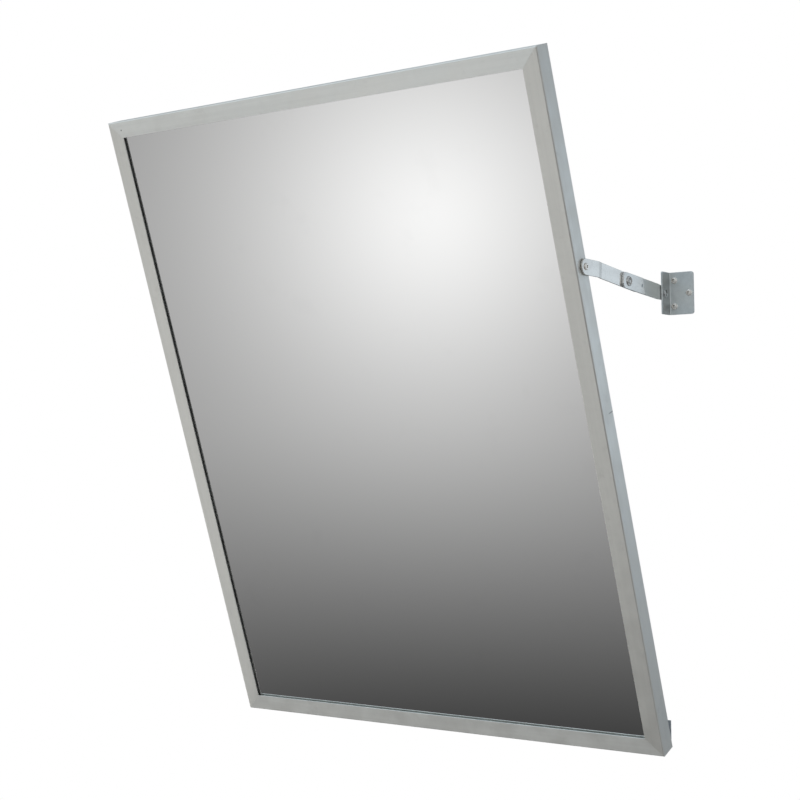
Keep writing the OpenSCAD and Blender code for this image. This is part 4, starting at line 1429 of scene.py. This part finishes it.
    def build_spring(self) -> Piece:
        """Models the spring plate flat, its wall end cut on a slant.

        Returns:
            The plate: X across it, Y along it from the wall pivot, Z outwards.
        """
        end = self.spring_end + self.spring_slant
        path = flat_path((self.tail, self.spring_layer), (end, self.spring_layer))
        plate = Bench.strip(self.wall_link_width, path, UPRIGHT)
        Bench.centre(plate)
        Bench.round_corners(plate, path[0], self.tail_corner)
        Bench.thicken(plate, self.spring_sheet)
        slant = Vector((2.0 * self.spring_slant, -self.wall_link_width, 0.0))
        Bench.saw(plate, Vector((0.0, self.spring_end - self.spring_slant / 2.0, 0.0)), slant)
        Bench.soften(plate, 0.6 * self.edge_rounding)
        return plate


@dataclass
class WallBrackets(Assembly):
    """The angle brackets on the wall and their screws."""

    pivot: Vector = Vector((0.3, 0.0, 0.4874))
    height: float = 0.048
    sheet: float = 0.0018
    flange_layer: float = 0.0042
    flange_out: float = 0.0205
    plate_end: float = 0.035
    bend: float = 0.0028
    plate_corner: float = 0.003
    flange_corner: float = 0.0015
    edge_rounding: float = 0.00025
    screw_spots: tuple[tuple[str, float, float], ...] = (
        ("upper", 0.0116, 0.0146),
        ("lower", 0.0116, -0.0146),
        ("outer", 0.0295, 0.0),
    )
    screw: ScrewForm = ScrewForm(
        head_radius=0.0037, head_height=0.0026, socket_radius=0.0017, neck_radius=0.0026, neck_length=0.0024,
        thread_radius=0.0022, thread_length=0.0064, tip_length=0.002,
    )

    def build(self) -> None:
        """Models and dresses both brackets with three screws each."""
        bracket = self.build_bracket()
        screw = self.screw.build()
        stand = Matrix.Translation(self.pivot) @ Matrix.Rotation(QUARTER_TURN, 4, "Y")
        fit, body = self.workshop.fit, "wall_side"
        for side in SIDES:
            node, place = f"wall_bracket_{side}", side_place(side, stand)
            fit(bracket, f"folded_bracket_{side}", place, Surface.BRACKET, body, node, "zinc_plated")
            node = f"bracket_screws_{side}"
            for spot, out, up in self.screw_spots:
                place = side_place(side, along(FORWARD, self.pivot + Vector((out, -self.sheet, up))))
                fit(screw, f"wall_screw_{spot}_{side}", place, Surface.SCREW, body, node, "bright_fastener")
        Bench.sweep_up(bracket, screw)

    def build_bracket(self) -> Piece:
        """Folds the bracket: X down its height, Y into the wall, Z outwards from the mirror's side.

        Returns:
            The bracket, with round free corners.
        """
        flange = self.flange_layer
        path = flat_path((-self.flange_out, flange), (0.0, flange), (0.0, self.plate_end))
        bracket = Bench.strip(self.height, path, -UPRIGHT)
        Bench.round_folds(bracket, path, self.bend)
        Bench.round_corners(bracket, path[0], self.flange_corner)
        Bench.round_corners(bracket, path[-1], self.plate_corner)
        Bench.centre(bracket)
        Bench.thicken(bracket, self.sheet)
        Bench.soften(bracket, self.edge_rounding)
        return bracket


# ---- Studio ----


@dataclass(frozen=True)
class PhotoCamera:
    """The photograph's camera, solved from the frame's corners and the bracket."""

    place: Vector = Vector((1.0311, -1.5424, 0.3245))
    turn: float = math.radians(34.112)
    pitch: float = math.radians(3.44)
    roll: float = math.radians(0.649)
    focal_pixels: float = 1494.8
    image_pixels: float = 800.0
    axis_x: float = 437.1
    axis_y: float = 351.1

    def build(self) -> None:
        """Makes the camera and makes it the scene's."""
        data = bpy.data.cameras.new("photo_camera")
        data.sensor_width = 36.0
        data.lens = data.sensor_width * self.focal_pixels / self.image_pixels
        data.shift_x = 0.5 - self.axis_x / self.image_pixels
        data.shift_y = self.axis_y / self.image_pixels - 0.5
        data.clip_start, data.clip_end = 0.01, 200.0
        camera = bpy.data.objects.new("photo_camera", data)
        turned = Matrix.Rotation(self.turn, 4, "Z") @ Matrix.Rotation(QUARTER_TURN + self.pitch, 4, "X")
        camera.matrix_world = Matrix.Translation(self.place) @ turned @ Matrix.Rotation(-self.roll, 4, "Z")
        bpy.context.scene.collection.objects.link(camera)
        bpy.context.scene.camera = camera


def direction(azimuth: float, elevation: float) -> Vector:
    """Unit vector from the mirror: degrees to the left of straight ahead and degrees above the horizon."""
    turn, rise = math.radians(azimuth), math.radians(elevation)
    return Vector((-math.sin(turn) * math.cos(rise), -math.cos(turn) * math.cos(rise), math.sin(rise)))


@dataclass(frozen=True)
class Wash:
    """Even light in the reflected room that eases in as a direction agrees with an axis."""

    axis: Vector
    starts_at: float
    full_at: float
    strength: float
    least: float = 0.0

    def light(self, graph: Graph, toward: Socket) -> Socket:
        """How strong it is in a direction."""
        agreement = graph.vector("DOT_PRODUCT", toward, self.axis.normalized())
        return graph.ease(agreement, self.starts_at, self.full_at, self.least, self.strength)


@dataclass(frozen=True)
class Glow:
    """Round soft light in the reflected room, with a width in degrees."""

    axis: Vector
    width: float
    strength: float
    power: float = 2.0

    def light(self, graph: Graph, toward: Socket) -> Socket:
        """How strong it is in a direction.

        Args:
            graph: The room's graph.
            toward: The direction.

        Returns:
            The light.
        """
        agreement = graph.vector("DOT_PRODUCT", toward, self.axis.normalized())
        angle = graph.math("DEGREES", graph.math("ARCCOSINE", graph.math("MINIMUM", agreement, 1.0)))
        fall = graph.math("POWER", graph.math("DIVIDE", angle, self.width), self.power)
        left = graph.math("EXPONENT", graph.math("MULTIPLY", fall, -1.0))
        return graph.math("MULTIPLY", left, self.strength)


@dataclass(frozen=True)
class Studio:
    """Pale floor, soft lamps, and the dim room that only the metal and the glass reflect."""

    floor_height: float = -1.0
    floor_size: float = 16.0
    white_from: float = 1.4
    white_beyond: float = 3.2
    shell_radius: float = 30.0
    rear: Wash = Wash(-FORWARD, 0.1, 0.8, 1.0)
    rear_dimming: float = 0.65
    shadow: Glow = Glow(direction(-42.0, -26.0), 35.0, 1.0)
    room_colour: Colour = (0.8, 0.92, 1.04)
    cool_gain: float = 3.0
    base: Wash = Wash(Vector((0.303, -0.243, 0.921)), -0.68, -0.45, 0.28, least=0.02)
    warm_lights: tuple[Wash | Glow, ...] = (
        Glow(direction(36.5, -21.7), 8.8, 0.7, power=1.6),
        Wash(Vector((0.0, 0.5, -0.87)), 0.75, 0.95, 0.3),
        Glow(direction(83.0, -26.0), 11.5, 2.1),
        Glow(direction(-74.0, 2.0), 11.0, 0.6),
        Glow(direction(-24.0, 13.0), 12.0, 1.8),
    )
    cool_lights: tuple[Wash | Glow, ...] = (
        Wash(direction(27.0, 45.0), 0.6, 0.9, 0.6),
        Glow(direction(160.0, 42.0), 17.0, 0.8),
        Wash(Vector((0.35, 1.0, 0.0)), -0.2, 0.6, 0.05),
        Glow(Vector((0.45, 0.89, 0.105)), 12.5, 1.13),
    )

    def build(self) -> None:
        """Makes the world, the floor, the reflected room and the lamps."""
        bpy.context.scene.view_settings.view_transform = "Standard"
        self.build_world()
        self.build_floor()
        self.build_room()
        self.build_lamps()

    @staticmethod
    def empty_graph(owner: bpy.types.Material | bpy.types.World) -> Graph:
        """Empties the node tree of a world or material.

        Args:
            owner: The world or material.

        Returns:
            Its graph.
        """
        owner.use_nodes = True
        owner.node_tree.nodes.clear()
        return Graph(owner.node_tree)

    @staticmethod
    def seen_directly(graph: Graph) -> Socket:
        """1 for rays from the camera, also by way of metal or glass, and 0 for others.

        Args:
            graph: The graph of a world or material.

        Returns:
            That number.
        """
        path = graph.add("ShaderNodeLightPath").outputs
        seen = graph.math("ADD", path["Is Camera Ray"], path["Is Glossy Ray"])
        return graph.math("ADD", seen, path["Is Transmission Ray"], clamp=True)

    def build_world(self) -> None:
        """White where it is seen, and a soft even light elsewhere."""
        world = bpy.data.worlds.new("soft_daylight")
        bpy.context.scene.world = world
        graph = self.empty_graph(world)
        seen = graph.add("ShaderNodeBackground", {"Color": (1.0, 1.0, 1.0)}).outputs[0]
        light = graph.add("ShaderNodeBackground", {"Color": (0.97, 0.985, 1.0), "Strength": 0.75}).outputs[0]
        mixed = graph.add("ShaderNodeMixShader", {"Fac": self.seen_directly(graph), 1: light, 2: seen})
        graph.add("ShaderNodeOutputWorld", {"Surface": mixed.outputs[0]})

    def build_floor(self) -> None:
        """A pale floor well under the mirror, which hangs on its wall."""
        bpy.ops.mesh.primitive_plane_add(size=self.floor_size, location=(0.0, 0.0, self.floor_height))
        floor = bpy.context.object
        floor.name = "studio_floor"
        floor.visible_glossy = False
        material = bpy.data.materials.new("pale_floor")
        graph = self.empty_graph(material)
        place = graph.add("ShaderNodeTexCoord").outputs["Object"]
        tone = graph.mix(graph.ease(graph.noise(place, 3.0), 0.3, 0.7), (0.9, 0.9, 0.9), (0.93, 0.93, 0.93))
        seen = self.seen_directly(graph)
        far_away = graph.ease(graph.vector("LENGTH", place), self.white_from, self.white_beyond)
        paper = graph.add("ShaderNodeBsdfDiffuse", {"Color": tone}).outputs[0]
        glow = graph.add("ShaderNodeEmission", {"Strength": graph.math("MULTIPLY", seen, 0.14)}).outputs[0]
        near = graph.add("ShaderNodeAddShader", {0: paper, 1: glow}).outputs[0]
        white = graph.add("ShaderNodeEmission").outputs[0]
        share = graph.math("MULTIPLY", far_away, seen)
        mixed = graph.add("ShaderNodeMixShader", {"Fac": share, 1: near, 2: white})
        graph.add("ShaderNodeOutputMaterial", {"Surface": mixed.outputs[0]})
        floor.data.materials.append(material)

    def build_room(self) -> None:
        """The room that metal and glass reflect: dim in front, dark low down, with some soft glows."""
        bpy.ops.mesh.primitive_uv_sphere_add(radius=self.shell_radius, segments=64, ring_count=32)
        room = bpy.context.object
        room.name = "studio_room"
        for ray in ("camera", "diffuse", "shadow", "transmission", "volume_scatter"):
            setattr(room, f"visible_{ray}", False)
        material = bpy.data.materials.new("dim_room")
        graph = self.empty_graph(material)
        material.cycles.emission_sampling = "NONE"
        toward = graph.vector("NORMALIZE", graph.add("ShaderNodeTexCoord").outputs["Object"])
        rear = self.rear.light(graph, toward)
        dimmed = graph.math("SUBTRACT", 1.0, graph.math("MULTIPLY", rear, self.rear_dimming))
        base = graph.math("MULTIPLY", self.base.light(graph, toward), dimmed)
        warm = graph.chain("ADD", *(light.light(graph, toward) for light in self.warm_lights))
        cold = graph.chain("ADD", *(light.light(graph, toward) for light in self.cool_lights))
        unshaded = graph.math("SUBTRACT", 1.0, self.shadow.light(graph, toward))
        strength = graph.math("MULTIPLY", graph.chain("ADD", base, warm, cold), unshaded)
        coolness = graph.math("ADD", graph.math("MULTIPLY", cold, self.cool_gain), rear, clamp=True)
        feeds = {"Color": graph.mix(coolness, (1.0, 1.0, 1.0), self.room_colour), "Strength": strength}
        emission = graph.add("ShaderNodeEmission", feeds).outputs[0]
        graph.add("ShaderNodeOutputMaterial", {"Surface": emission})
        room.data.materials.append(material)

    @staticmethod
    def build_lamps() -> None:
        """Two large soft lamps: one above in front, one behind."""
        for name, place, power, tint in (
            ("front_softbox", Vector((-0.9, -2.1, 0.4)), 15.0, (1.0, 0.99, 0.95)),
            ("back_softbox", Vector((-0.4, 1.6, 2.0)), 12.0, (0.86, 0.95, 1.0)),
        ):
            light = bpy.data.lights.new(name, "AREA")
            light.shape = "DISK"
            light.size = 1.6
            light.energy = power
            light.color = tint
            lamp = bpy.data.objects.new(name, light)
            lamp.visible_glossy = False
            aim = Vector((0.0, -0.1, 0.35)) - place
            lamp.rotation_euler = aim.to_track_quat("-Z", "Y").to_euler()
            lamp.location = place
            bpy.context.scene.collection.objects.link(lamp)


def main() -> None:
    """Builds the mirror's looks and the studio."""
    logging.basicConfig(level=logging.INFO, format="%(name)s: %(message)s")
    bpy.ops.object.select_all(action="DESELECT")
    PhotoCamera().build()
    Studio().build()
    workshop = Workshop()
    for assembly in (MirrorFrame, GlassAndBack, BottomHinge, FoldingStays, WallBrackets):
        assembly(workshop).build()
        LOG.info("%s is done", assembly.__name__)


if __name__ == "__main__":
    main()
